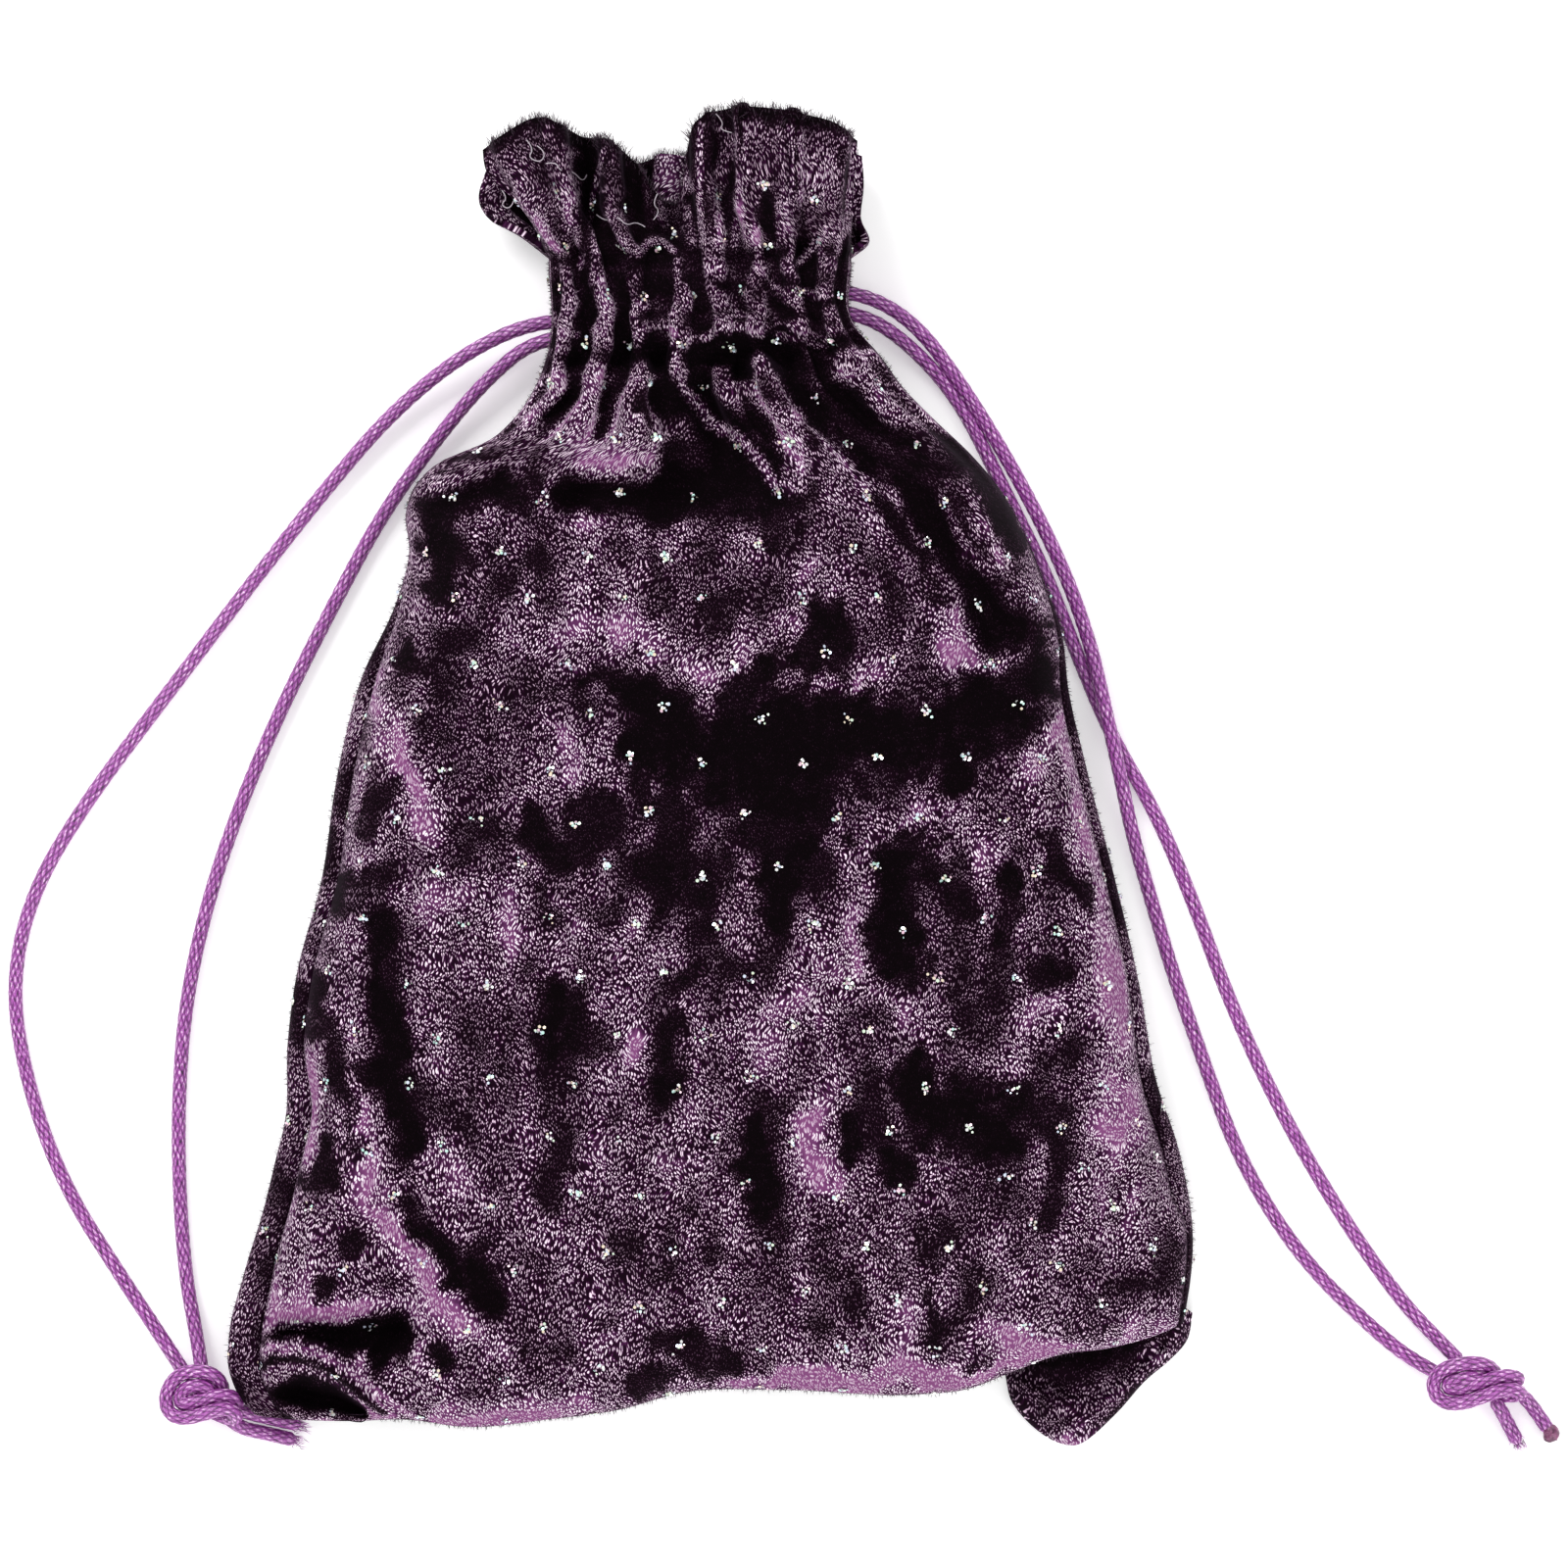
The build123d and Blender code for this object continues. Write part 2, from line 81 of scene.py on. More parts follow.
CORD = 0.002              # the cord's diameter
LEFT_OUTER_ROUTE = [
    (-0.0045, 0.0626, 0.0048), (-0.0135, 0.0624, 0.0048), (-0.0240, 0.0622, 0.0048),
    (-0.0336, 0.0578, 0.0034), (-0.0434, 0.0498, 0.0020), (-0.0530, 0.0386, 0.0013),
    (-0.0635, 0.0252, 0.00105), (-0.0743, 0.0110, 0.00105), (-0.0846, -0.0026, 0.00105),
    (-0.0922, -0.0152, 0.00105), (-0.0950, -0.0280, 0.00105), (-0.0928, -0.0415, 0.00105),
    (-0.0878, -0.0552, 0.00105), (-0.0802, -0.0672, 0.00105), (-0.0748, -0.0752, 0.0018),
    (-0.0712, -0.0806, 0.0032),
]
LEFT_INNER_ROUTE = [
    (-0.0045, 0.0601, 0.0048), (-0.0130, 0.0602, 0.0048), (-0.0234, 0.0600, 0.0048),
    (-0.0304, 0.0544, 0.0034), (-0.0376, 0.0458, 0.0018), (-0.0449, 0.0356, 0.0011),
    (-0.0512, 0.0238, 0.00105), (-0.0578, 0.0108, 0.00105), (-0.0636, -0.0026, 0.00105),
    (-0.0682, -0.0160, 0.00105), (-0.0713, -0.0300, 0.00105), (-0.0723, -0.0440, 0.00105),
    (-0.0721, -0.0570, 0.00105), (-0.0712, -0.0680, 0.00105), (-0.0698, -0.0750, 0.0018),
    (-0.0688, -0.0810, 0.0034),
]
# The upper strand lies beside the lower one and steps over it once, in a low hump.
RIGHT_UPPER_ROUTE = [
    (0.0015, 0.0664, 0.0048), (0.0100, 0.0665, 0.0048), (0.0204, 0.0662, 0.0048),
    (0.0276, 0.0622, 0.0036), (0.0338, 0.0542, 0.0022), (0.0412, 0.0422, 0.0012),
    (0.0478, 0.0292, 0.00105), (0.0516, 0.0186, 0.0014), (0.0534, 0.0104, 0.0034),
    (0.0554, 0.0016, 0.0034), (0.0572, -0.0072, 0.0016), (0.0600, -0.0168, 0.00105),
    (0.0628, -0.0262, 0.00105), (0.0666, -0.0372, 0.00105), (0.0718, -0.0516, 0.00105),
    (0.0800, -0.0648, 0.00105), (0.0904, -0.0750, 0.00105), (0.0962, -0.0794, 0.0020),
    (0.1014, -0.0818, 0.0034),
]
RIGHT_LOWER_ROUTE = [
    (0.0015, 0.0638, 0.0048), (0.0100, 0.0639, 0.0048), (0.0206, 0.0634, 0.0048),
    (0.0274, 0.0588, 0.0030), (0.0338, 0.0516, 0.0014), (0.0392, 0.0408, 0.00105),
    (0.0454, 0.0284, 0.00105), (0.0499, 0.0168, 0.00105), (0.0544, 0.0060, 0.00105),
    (0.0606, -0.0046, 0.00105), (0.0656, -0.0166, 0.00105), (0.0706, -0.0304, 0.00105),
    (0.0774, -0.0450, 0.00105), (0.0854, -0.0588, 0.00105), (0.0932, -0.0700, 0.00105),
    (0.0980, -0.0752, 0.0020), (0.1018, -0.0790, 0.0034),
]
LEFT_UPPER_TAIL = [
    (-0.0674, -0.0840, 0.0032), (-0.0646, -0.0854, 0.0020), (-0.0602, -0.0866, 0.00105),
    (-0.0556, -0.0876, 0.00105),
]
LEFT_LOWER_TAIL = [
    (-0.0662, -0.0858, 0.0030), (-0.0642, -0.0879, 0.0018), (-0.0602, -0.0887, 0.00105),
    (-0.0562, -0.0897, 0.00105),
]
RIGHT_INNER_TAIL = [
    (0.1062, -0.0838, 0.0032), (0.1076, -0.0860, 0.0019), (0.1086, -0.0880, 0.00105),
    (0.1098, -0.0902, 0.00105),
]
RIGHT_OUTER_TAIL = [
    (0.1076, -0.0812, 0.0034), (0.1102, -0.0834, 0.0020), (0.1122, -0.0858, 0.0011),
    (0.1140, -0.0886, 0.0011),
]

# ---- meshes from numbers ----


def mesh_object(name, points, faces, material, attributes=None):
    """A smooth-shaded object from points in millimetres."""
    mesh = bpy.data.meshes.new(name)
    points = np.array(points, float)
    points[:, 2] = np.maximum(points[:, 2], TABLE_GAP)
    mesh.from_pydata((points * MM).tolist(), [], faces)
    for key, values in (attributes or {}).items():
        values = np.asarray(values, np.float32)
        kind = "FLOAT" if values.ndim == 1 else "FLOAT_VECTOR"
        layer = mesh.attributes.new(key, kind, "POINT")
        layer.data.foreach_set("value" if values.ndim == 1 else "vector", values.ravel())
    mesh.materials.append(material)
    mesh.polygons.foreach_set("use_smooth", [True] * len(mesh.polygons))
    mesh.validate()
    mesh.update()
    piece = bpy.data.objects.new(name, mesh)
    bpy.context.scene.collection.objects.link(piece)
    return piece


def grid_faces(rows, columns, flip=False, around=False, start=0):
    """The quads of a grid of points. around joins the last column to the first."""
    last = columns if around else columns - 1
    j, i = np.meshgrid(np.arange(rows - 1), np.arange(last), indexing="ij")
    right = (i + 1) % columns
    quads = np.stack(
        [j * columns + i, j * columns + right, (j + 1) * columns + right, (j + 1) * columns + i], -1
    ).reshape(-1, 4) + start
    return (quads[:, ::-1] if flip else quads).tolist()


def ramp(value, low, high):
    """0 below low, 1 above high, and a smooth step between them."""
    t = np.clip((value - low) / (high - low), 0, 1)
    return t * t * (3 - 2 * t)


def lumps(x, y, size, seed):
    """Smooth noise from -1 to 1 with lumps of about that size."""
    lattice = np.random.default_rng(seed).uniform(-1, 1, (128, 128))
    u = np.asarray(x) / size + 64
    v = np.asarray(y) / size + 64
    i = np.floor(u).astype(int)
    j = np.floor(v).astype(int)
    fu = u - i
    fv = v - j
    fu = fu * fu * (3 - 2 * fu)
    fv = fv * fv * (3 - 2 * fv)
    a = lattice[i % 128, j % 128]
    b = lattice[(i + 1) % 128, j % 128]
    c = lattice[i % 128, (j + 1) % 128]
    d = lattice[(i + 1) % 128, (j + 1) % 128]
    return (a * (1 - fu) + b * fu) * (1 - fv) + (c * (1 - fu) + d * fu) * fv


def stroke_distance(x, y, points, widen=1.0):
    """How deep each place lies in a stroke: 1 on its middle line, 0 at its edge, then negative."""
    points = [(px, py, half * widen) for px, py, half in points]
    depth = np.full(np.shape(x), -9.0)
    pairs = list(zip(points, points[1:])) or [(points[0], points[0])]
    for (ax, ay, ar), (bx, by, br) in pairs:
        run = max((bx - ax) ** 2 + (by - ay) ** 2, 1e-9)
        t = np.clip(((x - ax) * (bx - ax) + (y - ay) * (by - ay)) / run, 0, 1)
        gap = np.hypot(x - ax - t * (bx - ax), y - ay - t * (by - ay))
        depth = np.maximum(depth, 1 - gap / (ar + t * (br - ar)))
    return depth


# ---- materials ----

CORD_RINGS = 0.28         # distance between rings of points, millimetres
CORD_SIDES = 28
BRAID_STRANDS = 8
BRAID_LAY = 15.0          # millimetres for one turn of a braid strand
BRAID_DEPTH = 0.15


class Nodes:
    """A short way to write a material's nodes."""

    def __init__(self, name):
        self.material = bpy.data.materials.new(name)
        self.material.use_nodes = True
        self.tree = self.material.node_tree
        self.shader = self.tree.nodes["Principled BSDF"]

    def add(self, kind, inputs=None, **settings):
        node = self.tree.nodes.new("ShaderNode" + kind)
        for key, value in settings.items():
            setattr(node, key, value)
        for key, value in (inputs or {}).items():
            self.join(value, node.inputs[key])
        return node

    def join(self, value, socket):
        if isinstance(value, bpy.types.NodeSocket):
            self.tree.links.new(value, socket)
        else:
            socket.default_value = value

    def maths(self, operation, a, b=0.0, c=0.0):
        return self.add("Math", {0: a, 1: b, 2: c}, operation=operation).outputs[0]

    def attribute(self, name, output="Vector"):
        return self.add("Attribute", attribute_name=name).outputs[output]

    def stretch(self, vector, scale):
        return self.add("Mapping", {"Vector": vector, "Scale": scale}).outputs[0]

    def noise(self, vector, scale, detail=2.0, rough=0.5, distortion=0.0):
        inputs = {
            "Vector": vector, "Scale": scale, "Detail": detail, "Roughness": rough,
            "Distortion": distortion,
        }
        return self.add("TexNoise", inputs).outputs["Fac"]

    def colours(self, value, stops):
        node = self.add("ValToRGB", {"Fac": value})
        elements = node.color_ramp.elements
        while len(elements) < len(stops):
            elements.new(0.5)
        for element, (place, colour) in zip(elements, stops):
            element.position = place
            element.color = (*colour, 1.0)
        return node.outputs["Color"]

    def vector_maths(self, operation, inputs):
        return self.add("VectorMath", inputs, operation=operation).outputs[0]

    def fade(self, value, low, high, at_low=0.0, at_high=1.0):
        """at_low where value is low, at_high where it is high, and straight between."""
        inputs = {"Value": value, "From Min": low, "From Max": high, "To Min": at_low, "To Max": at_high}
        return self.add("MapRange", inputs, clamp=True).outputs[0]

    def mix(self, share, one, two):
        return self.add("MixRGB", {"Fac": share, "Color1": one, "Color2": two}).outputs[0]

    def bands(self, vector, scale, distortion, direction, **more):
        inputs = {"Vector": vector, "Scale": scale, "Distortion": distortion}
        inputs.update({key.replace("_", " "): value for key, value in more.items()})
        return self.add("TexWave", inputs, bands_direction=direction).outputs["Fac"]

    def bump(self, height, distance, strength):
        inputs = {"Height": height, "Distance": distance, "Strength": strength}
        return self.add("Bump", inputs).outputs["Normal"]

    def finish(self, **sockets):
        for key, value in sockets.items():
            self.join(value, self.shader.inputs[key.replace("_", " ")])
        return self.material


def velvet(name):
    """Crushed velvet: the pile attribute says how far the pile leans to the light, with painted shade in fold
    valleys and creases and painted highlights on ridges and rims worked into it.

    The pile stands in short slanting tufts in knitted rows; their pale tips are painted glints where they
    catch the light.
    """
    m = Nodes(name)
    flat = m.attribute("flat")
    pile = m.attribute("pile", "Fac")
    wander = m.add("TexNoise", {"Vector": flat, "Scale": 0.22, "Detail": 2.0}).outputs["Color"]
    wander = m.vector_maths("SUBTRACT", {0: wander, 1: (0.5, 0.5, 0.5)})
    wander = m.vector_maths("SCALE", {0: wander, "Scale": 3.2})
    swayed = m.vector_maths("ADD", {0: flat, 1: wander})
    slanted = m.add("Mapping", {"Vector": swayed, "Rotation": (0.0, 0.0, math.radians(20)),
                                "Scale": (3.5, 1.45, 1.0)}).outputs[0]
    tufts = m.add("TexVoronoi", {"Vector": slanted, "Scale": 1.0, "Randomness": 0.85},
                  voronoi_dimensions="2D")
    spread = m.add("SeparateColor", {"Color": tufts.outputs["Color"]}).outputs[0]
    from_tuft = tufts.outputs["Distance"]
    # each tuft is a painted glint, a bright dash, larger where the pile leans to the light
    reach = m.maths("MULTIPLY_ADD", pile, 0.17, 0.124)
    reach = m.maths("MULTIPLY", reach, m.maths("MULTIPLY_ADD", spread, 0.9, 0.65))
    dash = m.fade(from_tuft, reach, m.maths("MULTIPLY", reach, 0.80))
    rows = m.bands(swayed, 0.30, 0.8, "Y", Detail=1.0, Detail_Scale=2.0)
    dash = m.maths("MULTIPLY", dash, m.maths("MULTIPLY_ADD", rows, 0.6, 0.55))
    cloud = m.noise(flat, 0.75, 3.0, 0.65)
    lean = m.maths("ADD", pile, m.maths("MULTIPLY", m.maths("SUBTRACT", cloud, 0.5), 0.30))
    ground = m.colours(lean, [
        (0.00, (0.0018, 0.0012, 0.0013)),
        (0.24, (0.0060, 0.0016, 0.0044)),
        (0.45, (0.0380, 0.0060, 0.0340)),
        (0.65, (0.0950, 0.0190, 0.0880)),
        (0.85, (0.1700, 0.0440, 0.1550)),
        (1.00, (0.2400, 0.0760, 0.2100)),
    ])
    # the tips' pale, near-white colours are painted glints
    tips = m.colours(lean, [
        (0.00, (0.008, 0.003, 0.006)),
        (0.18, (0.090, 0.040, 0.078)),
        (0.36, (0.610, 0.420, 0.560)),
        (0.56, (1.000, 0.790, 0.940)),
        (1.00, (1.000, 0.900, 0.980)),
    ])
    # painted shade between tufts: the ground is nearly black there, less so where the pile is palest and its
    # dashes fewer
    gap = m.fade(from_tuft, 0.25, 0.50, 0.0, 0.92)
    lit = m.fade(pile, 0.04, 0.24)
    smooth = m.fade(pile, 0.66, 0.98, 1.0, 0.25)
    gap = m.maths("MULTIPLY", m.maths("MULTIPLY", gap, lit), smooth)
    dash = m.maths("MULTIPLY", dash, m.fade(pile, 0.88, 1.0, 1.0, 0.35))
    colour = m.mix(dash, m.mix(gap, ground, (0.0048, 0.0014, 0.0036, 1.0)), tips)
    normal = m.bump(m.maths("ADD", dash, m.maths("MULTIPLY", rows, 0.3)), 0.00012, 0.5)
    return m.finish(
        Base_Color=colour, Roughness=0.8, Normal=normal,
        Specular_IOR_Level=0.03, Specular_Tint=(0.9, 0.45, 0.85, 1.0),
        Sheen_Weight=0.03, Sheen_Roughness=0.35, Sheen_Tint=(0.75, 0.42, 0.75, 1.0),
    )


def backing():
    """The knitted wrong side of the velvet."""
    m = Nodes("velvet_backing")
    flat = m.attribute("flat")
    knit = m.maths("MULTIPLY", m.bands(flat, 0.45, 0.8, "X"), m.bands(flat, 0.57, 1.0, "Y"))
    cloud = m.noise(flat, 0.2, 3.0, 0.6)
    shade = m.maths("ADD", m.maths("MULTIPLY", knit, 0.6), m.maths("MULTIPLY", cloud, 0.4))
    colour = m.colours(shade, [(0.1, (0.012, 0.006, 0.011)), (0.9, (0.075, 0.035, 0.070))])
    normal = m.bump(knit, 0.0002, 0.7)
    return m.finish(Base_Color=colour, Roughness=0.9, Normal=normal, Specular_IOR_Level=0.2)


def satin_cord():
    """Shiny braided satin: fine filaments along each strand of the braid, with painted highlights on the
    strands' crowns and painted shade in the gaps between them.
    """
    m = Nodes("satin_cord")
    flat = m.attribute("flat")
    parts = m.add("SeparateXYZ", {"Vector": flat})
    wobble = m.maths("MULTIPLY", m.maths("SUBTRACT", m.noise(flat, 0.8, 2.0), 0.5), 0.7)
    turn = m.maths("ADD", m.maths("MULTIPLY", parts.outputs[0], BRAID_STRANDS / TAU), wobble)
    lay = m.maths("MULTIPLY", parts.outputs[1], BRAID_STRANDS / BRAID_LAY)
    one, two = (
        m.maths("ABSOLUTE", m.maths("SINE", m.maths("MULTIPLY", m.maths(way, turn, lay), math.pi)))
        for way in ("ADD", "SUBTRACT")
    )
    pillow = m.maths("POWER", m.maths("MULTIPLY", one, two), 0.35)
    filaments = m.noise(m.stretch(flat, (4.2, 1.1, 1.0)), 1.0, 3.0, 0.7, 0.8)
    shade = m.maths("MULTIPLY", m.maths("SUBTRACT", filaments, 0.5), 1.5)
    # pillow lifts the colour on each strand's crown, a painted highlight up to the near-white top stop, and
    # drops it in the gaps, painted shade
    shade = m.maths("ADD", shade, m.maths("MULTIPLY_ADD", pillow, 0.62, 0.03))
    colour = m.colours(shade, [
        (0.10, (0.022, 0.001, 0.026)),
        (0.34, (0.190, 0.014, 0.200)),
        (0.60, (0.420, 0.090, 0.430)),
        (0.84, (0.930, 0.700, 0.900)),
    ])
    return m.finish(
        Base_Color=colour, Roughness=0.36, Normal=m.bump(m.maths("ADD", filaments, pillow), 0.00012, 0.7),
        Specular_IOR_Level=0.7,
    )


def plain_cord():
    """The same cord on the CAD pieces inside the channel, which carry no attributes."""
    m = Nodes("channel_cord")
    place = m.add("TexCoord").outputs["Object"]
    filaments = m.noise(m.stretch(place, (900.0, 3200.0, 3200.0)), 1.0, 3.0, 0.6)
    colour = m.colours(filaments, [(0.25, (0.06, 0.012, 0.08)), (0.75, (0.40, 0.18, 0.42))])
    return m.finish(Base_Color=colour, Roughness=0.4, Normal=m.bump(filaments, 0.0001, 0.6))


def sewing_thread(name, dark, light, rough=0.6):
    """Twisted thread, with its twist as slanting bands."""
    m = Nodes(name)
    flat = m.attribute("flat")
    twist = m.bands(flat, 1.4, 0.4, "DIAGONAL")
    colour = m.colours(twist, [(0.1, dark), (0.9, light)])
    return m.finish(Base_Color=colour, Roughness=rough, Normal=m.bump(twist, 0.00006, 0.5))


def melted_nylon():
    """The glassy end of a cord that was sealed with a flame."""
    m = Nodes("melted_end")
    place = m.add("TexCoord").outputs["Object"]
    cloud = m.noise(place, 1500.0, 3.0, 0.6)
    colour = m.colours(cloud, [(0.3, (0.06, 0.010, 0.040)), (0.7, (0.30, 0.09, 0.20))])
    return m.finish(Base_Color=colour, Roughness=0.3, Normal=m.bump(cloud, 0.0002, 0.5))


def glitter():
    """Iridescent foil flakes, each with its own tint."""
    m = Nodes("glitter_flakes")
    tint = m.attribute("tint", "Color")
    shimmer = m.noise(m.add("TexCoord").outputs["Object"], 2600.0, 1.0)
    colour = m.mix(m.maths("MULTIPLY", shimmer, 0.5), tint, (1.0, 1.0, 1.0, 1.0))
    return m.finish(Base_Color=colour, Roughness=0.22, Metallic=0.55, Specular_IOR_Level=0.8)


VELVET = velvet("crushed_velvet")
BACKING = backing()
SATIN = satin_cord()
THREAD = sewing_thread("sewing_thread", (0.012, 0.004, 0.012), (0.09, 0.035, 0.085))
LOOSE_THREAD = sewing_thread("loose_thread", (0.30, 0.24, 0.30), (0.75, 0.68, 0.74))
FUZZ = sewing_thread("cut_pile", (0.006, 0.002, 0.005), (0.06, 0.022, 0.052), 0.8)
MELTED = melted_nylon()
GLITTER = glitter()
CHANNEL_CORD = plain_cord()

# ---- cords: braided tubes along smooth NURBS routes ----


def nurbs_line(name, route):
    """The points of the smooth line that a route's control points make, in metres."""
    curve = bpy.data.curves.new(name, "CURVE")
    curve.dimensions = "3D"
    curve.resolution_u = 24
    spline = curve.splines.new("NURBS")
    spline.points.add(len(route) - 1)
    for point, place in zip(spline.points, route):
        point.co = (*place, 1.0)
    spline.order_u = 3
    spline.use_endpoint_u = True
    holder = bpy.data.objects.new(name, curve)
    bpy.context.scene.collection.objects.link(holder)
    bpy.context.view_layer.update()
    line = bpy.data.meshes.new_from_object(holder)
    points = np.array([v.co for v in line.vertices], float)
    bpy.data.objects.remove(holder)
    bpy.data.meshes.remove(line)
    return points


def even_points(points, step):
    """Points along a line at even steps."""
    points = np.asarray(points, float)
    reach = np.concatenate([[0], np.cumsum(np.linalg.norm(np.diff(points, axis=0), axis=1))])
    count = max(4, int(round(reach[-1] / step)))
    places = np.linspace(0, reach[-1], count)
    return np.stack([np.interp(places, reach, points[:, k]) for k in range(3)], 1), places


def ring_frames(points):
    """Two directions across a line at each of its points, carried along it without twist."""
    along = np.gradient(points, axis=0)
    along /= np.linalg.norm(along, axis=1)[:, None] + 1e-12
    side = np.zeros_like(points)
    start = np.cross(along[0], (0.0, 0.0, 1.0))
    if np.linalg.norm(start) < 0.1:
        start = np.cross(along[0], (1.0, 0.0, 0.0))
    side[0] = start / np.linalg.norm(start)
    for k in range(1, len(points)):
        turned = side[k - 1] - along[k] * (side[k - 1] @ along[k])
        side[k] = turned / np.linalg.norm(turned)
    return side, np.cross(along, side)


def tube(points, angle, width, start, around):
    """Points and faces of a tube: a ring at each point of a line, and a cap at each end.

    width says how far out each ring's points lie. Its faces count their points from start.
    """
    side, up = ring_frames(points)
    cross = np.cos(angle)[None, :, None] * side[:, None] + np.sin(angle)[None, :, None] * up[:, None]
    shell = points[:, None] + cross * width[:, :, None]
    rings, columns = shell.shape[:2]
    sides = columns if around else columns - 1
    faces = grid_faces(rings, columns, flip=True, around=around, start=start)
    last = start + (rings - 1) * columns
    faces.append([start + k for k in range(sides)])
    faces.append([last + k for k in reversed(range(sides))])
    return shell, faces


def cord_mesh(line, radius, start):
    """Points, faces and mapping of a braided tube along a line, all in millimetres."""
    points, reach = even_points(line, CORD_RINGS)
    # the seam of the tube's mapping is on its underside
    angle = math.pi / 2 + np.arange(CORD_SIDES + 1) * TAU / CORD_SIDES
    turn = BRAID_STRANDS * angle[None, :] / TAU
    lay = (reach * BRAID_STRANDS / BRAID_LAY)[:, None]
    pillow = np.sqrt(np.abs(np.sin(math.pi * (turn + lay)) * np.sin(math.pi * (turn - lay))))
    depth = radius - BRAID_DEPTH * (1 - pillow)
    ends = np.minimum(np.arange(len(points)), np.arange(len(points))[::-1])
    depth = depth * np.where(ends < 3, np.sqrt(np.clip((ends + 0.4) / 3.4, 0, 1)), 1.0)[:, None]
    shell, faces = tube(points, angle, depth, start, False)
    flat = np.zeros(shell.shape)
    flat[:, :, 0] = (angle * radius)[None]
    flat[:, :, 1] = reach[:, None]
    return shell.reshape(-1, 3), faces, flat.reshape(-1, 3)


def cord_piece(name, lines, body, replaced):
    """One piece of braided cord along one or several lines given in metres."""
    points = np.zeros((0, 3))
    flat = np.zeros((0, 3))
    faces = []
    for line in lines:
        shell, quads, mapped = cord_mesh(np.asarray(line) / MM, CORD / MM / 2, len(points))
        points = np.concatenate([points, shell])
        flat = np.concatenate([flat, mapped])
        faces += quads
    piece = mesh_object(name, points, faces, SATIN, {"flat": flat})
    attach(piece, body)
    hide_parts(replaced)
    return piece


HAIR_SIDES = 3
HAIR_WIDTHS = (1.0, 0.9, 0.7, 0.35)   # from the root to the tip


def hairs(name, roots, tips, sag, radius, material, body):
    """Thin three-sided fibres from each root to its tip, bowed by sag in the middle."""
    points = []
    faces = []
    flat = []
    for root, tip, bow in zip(roots, tips, sag):
        middle = (root + tip) / 2 + bow
        line = [root, (root + 2 * middle) / 3, (tip + 2 * middle) / 3, tip]
        along = (tip - root) / (np.linalg.norm(tip - root) + 1e-9)
        side = np.cross(along, (0.31, 0.22, 0.92))
        side /= np.linalg.norm(side) + 1e-9
        up = np.cross(along, side)
        base = len(points)
        for k, place in enumerate(line):
            width = radius * HAIR_WIDTHS[k]
            for corner in range(HAIR_SIDES):
                turn = TAU * corner / HAIR_SIDES
                points.append(place + width * (math.cos(turn) * side + math.sin(turn) * up))
                flat.append((corner * radius, k * 0.4, 0.0))
        faces += grid_faces(len(line), HAIR_SIDES, flip=True, around=True, start=base)
        faces.append([base, base + 1, base + 2])
        faces.append([base + 11, base + 10, base + 9])
    piece = mesh_object(name, points, faces, material, {"flat": flat})
    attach(piece, body)


# ---- knots ----

# The knot of two cords side by side: (a, b, up) in millimetres from its middle. It comes in low,
# folds over at the right, lies over the front, turns at the left and dives through its own loop.
KNOT_LINE = [
    (-2.4, 1.2, -2.1), (0.8, -0.2, -2.2), (3.8, -0.6, -2.0), (5.5, -0.3, -1.0), (5.9, 0.1, 0.5),
    (4.9, 0.6, 1.8), (2.8, 0.4, 2.4), (0.2, -0.8, 2.3), (-2.4, -1.9, 1.9), (-4.4, -1.9, 1.2),
    (-5.3, -0.6, 0.8), (-4.7, 0.9, 1.0), (-3.0, 1.8, 1.6), (-0.8, 2.2, 1.9), (0.9, 1.9, 1.2),
    (2.0, 0.8, -0.2), (2.6, -0.5, -1.4),
]
KNOT_HEIGHT = 3.9


def knot(name, middle, heading, size, body, node):
    """An overhand knot round middle, its length along heading, between the strands and the tails."""
    along = np.array(heading) / np.linalg.norm(heading)
    across = np.array([-along[1], along[0]])
    route = []
    for a, b, c in KNOT_LINE:
        spot = np.array(middle) + (along * a * size[0] + across * b * size[1]) * MM
        route.append((spot[0], spot[1], (KNOT_HEIGHT + c) * MM))
    centre, _ = even_points(nurbs_line(name + "_line", route), 0.0002)
    side, _ = ring_frames(centre)
    lines = []
    for hand in (1, -1):
        line = centre + hand * side * CORD * 0.49
        line[:, 2] = np.maximum(line[:, 2], CORD * 0.53)
        lines.append(line)
    cord_piece(name, lines, body, node)


FRAY_FIBRES = 46
FRAY_REACH = 1.1          # the longest filament past the cord's end, millimetres


def frayed_end(name, route, body, seed):
    """Loose filaments where a cord was cut."""
    rng = np.random.default_rng(seed)
    count = FRAY_FIBRES
    tip = np.array(route[-1]) / MM
    along = tip - np.array(route[-2]) / MM
    along /= np.linalg.norm(along)
    roots = tip + rng.normal(0, 0.42, (count, 3)) - along * 0.4
    roots[:, 2] = np.clip(roots[:, 2], 0.25, 1.9)
    tips = roots + along * rng.uniform(0.5, FRAY_REACH, (count, 1)) + rng.normal(0, 0.33, (count, 3))
    tips[:, 2] = np.clip(tips[:, 2], 0.1, 2.1)
    hairs(name, roots, tips, rng.normal(0, 0.1, (count, 3)), 0.055, SATIN, body)


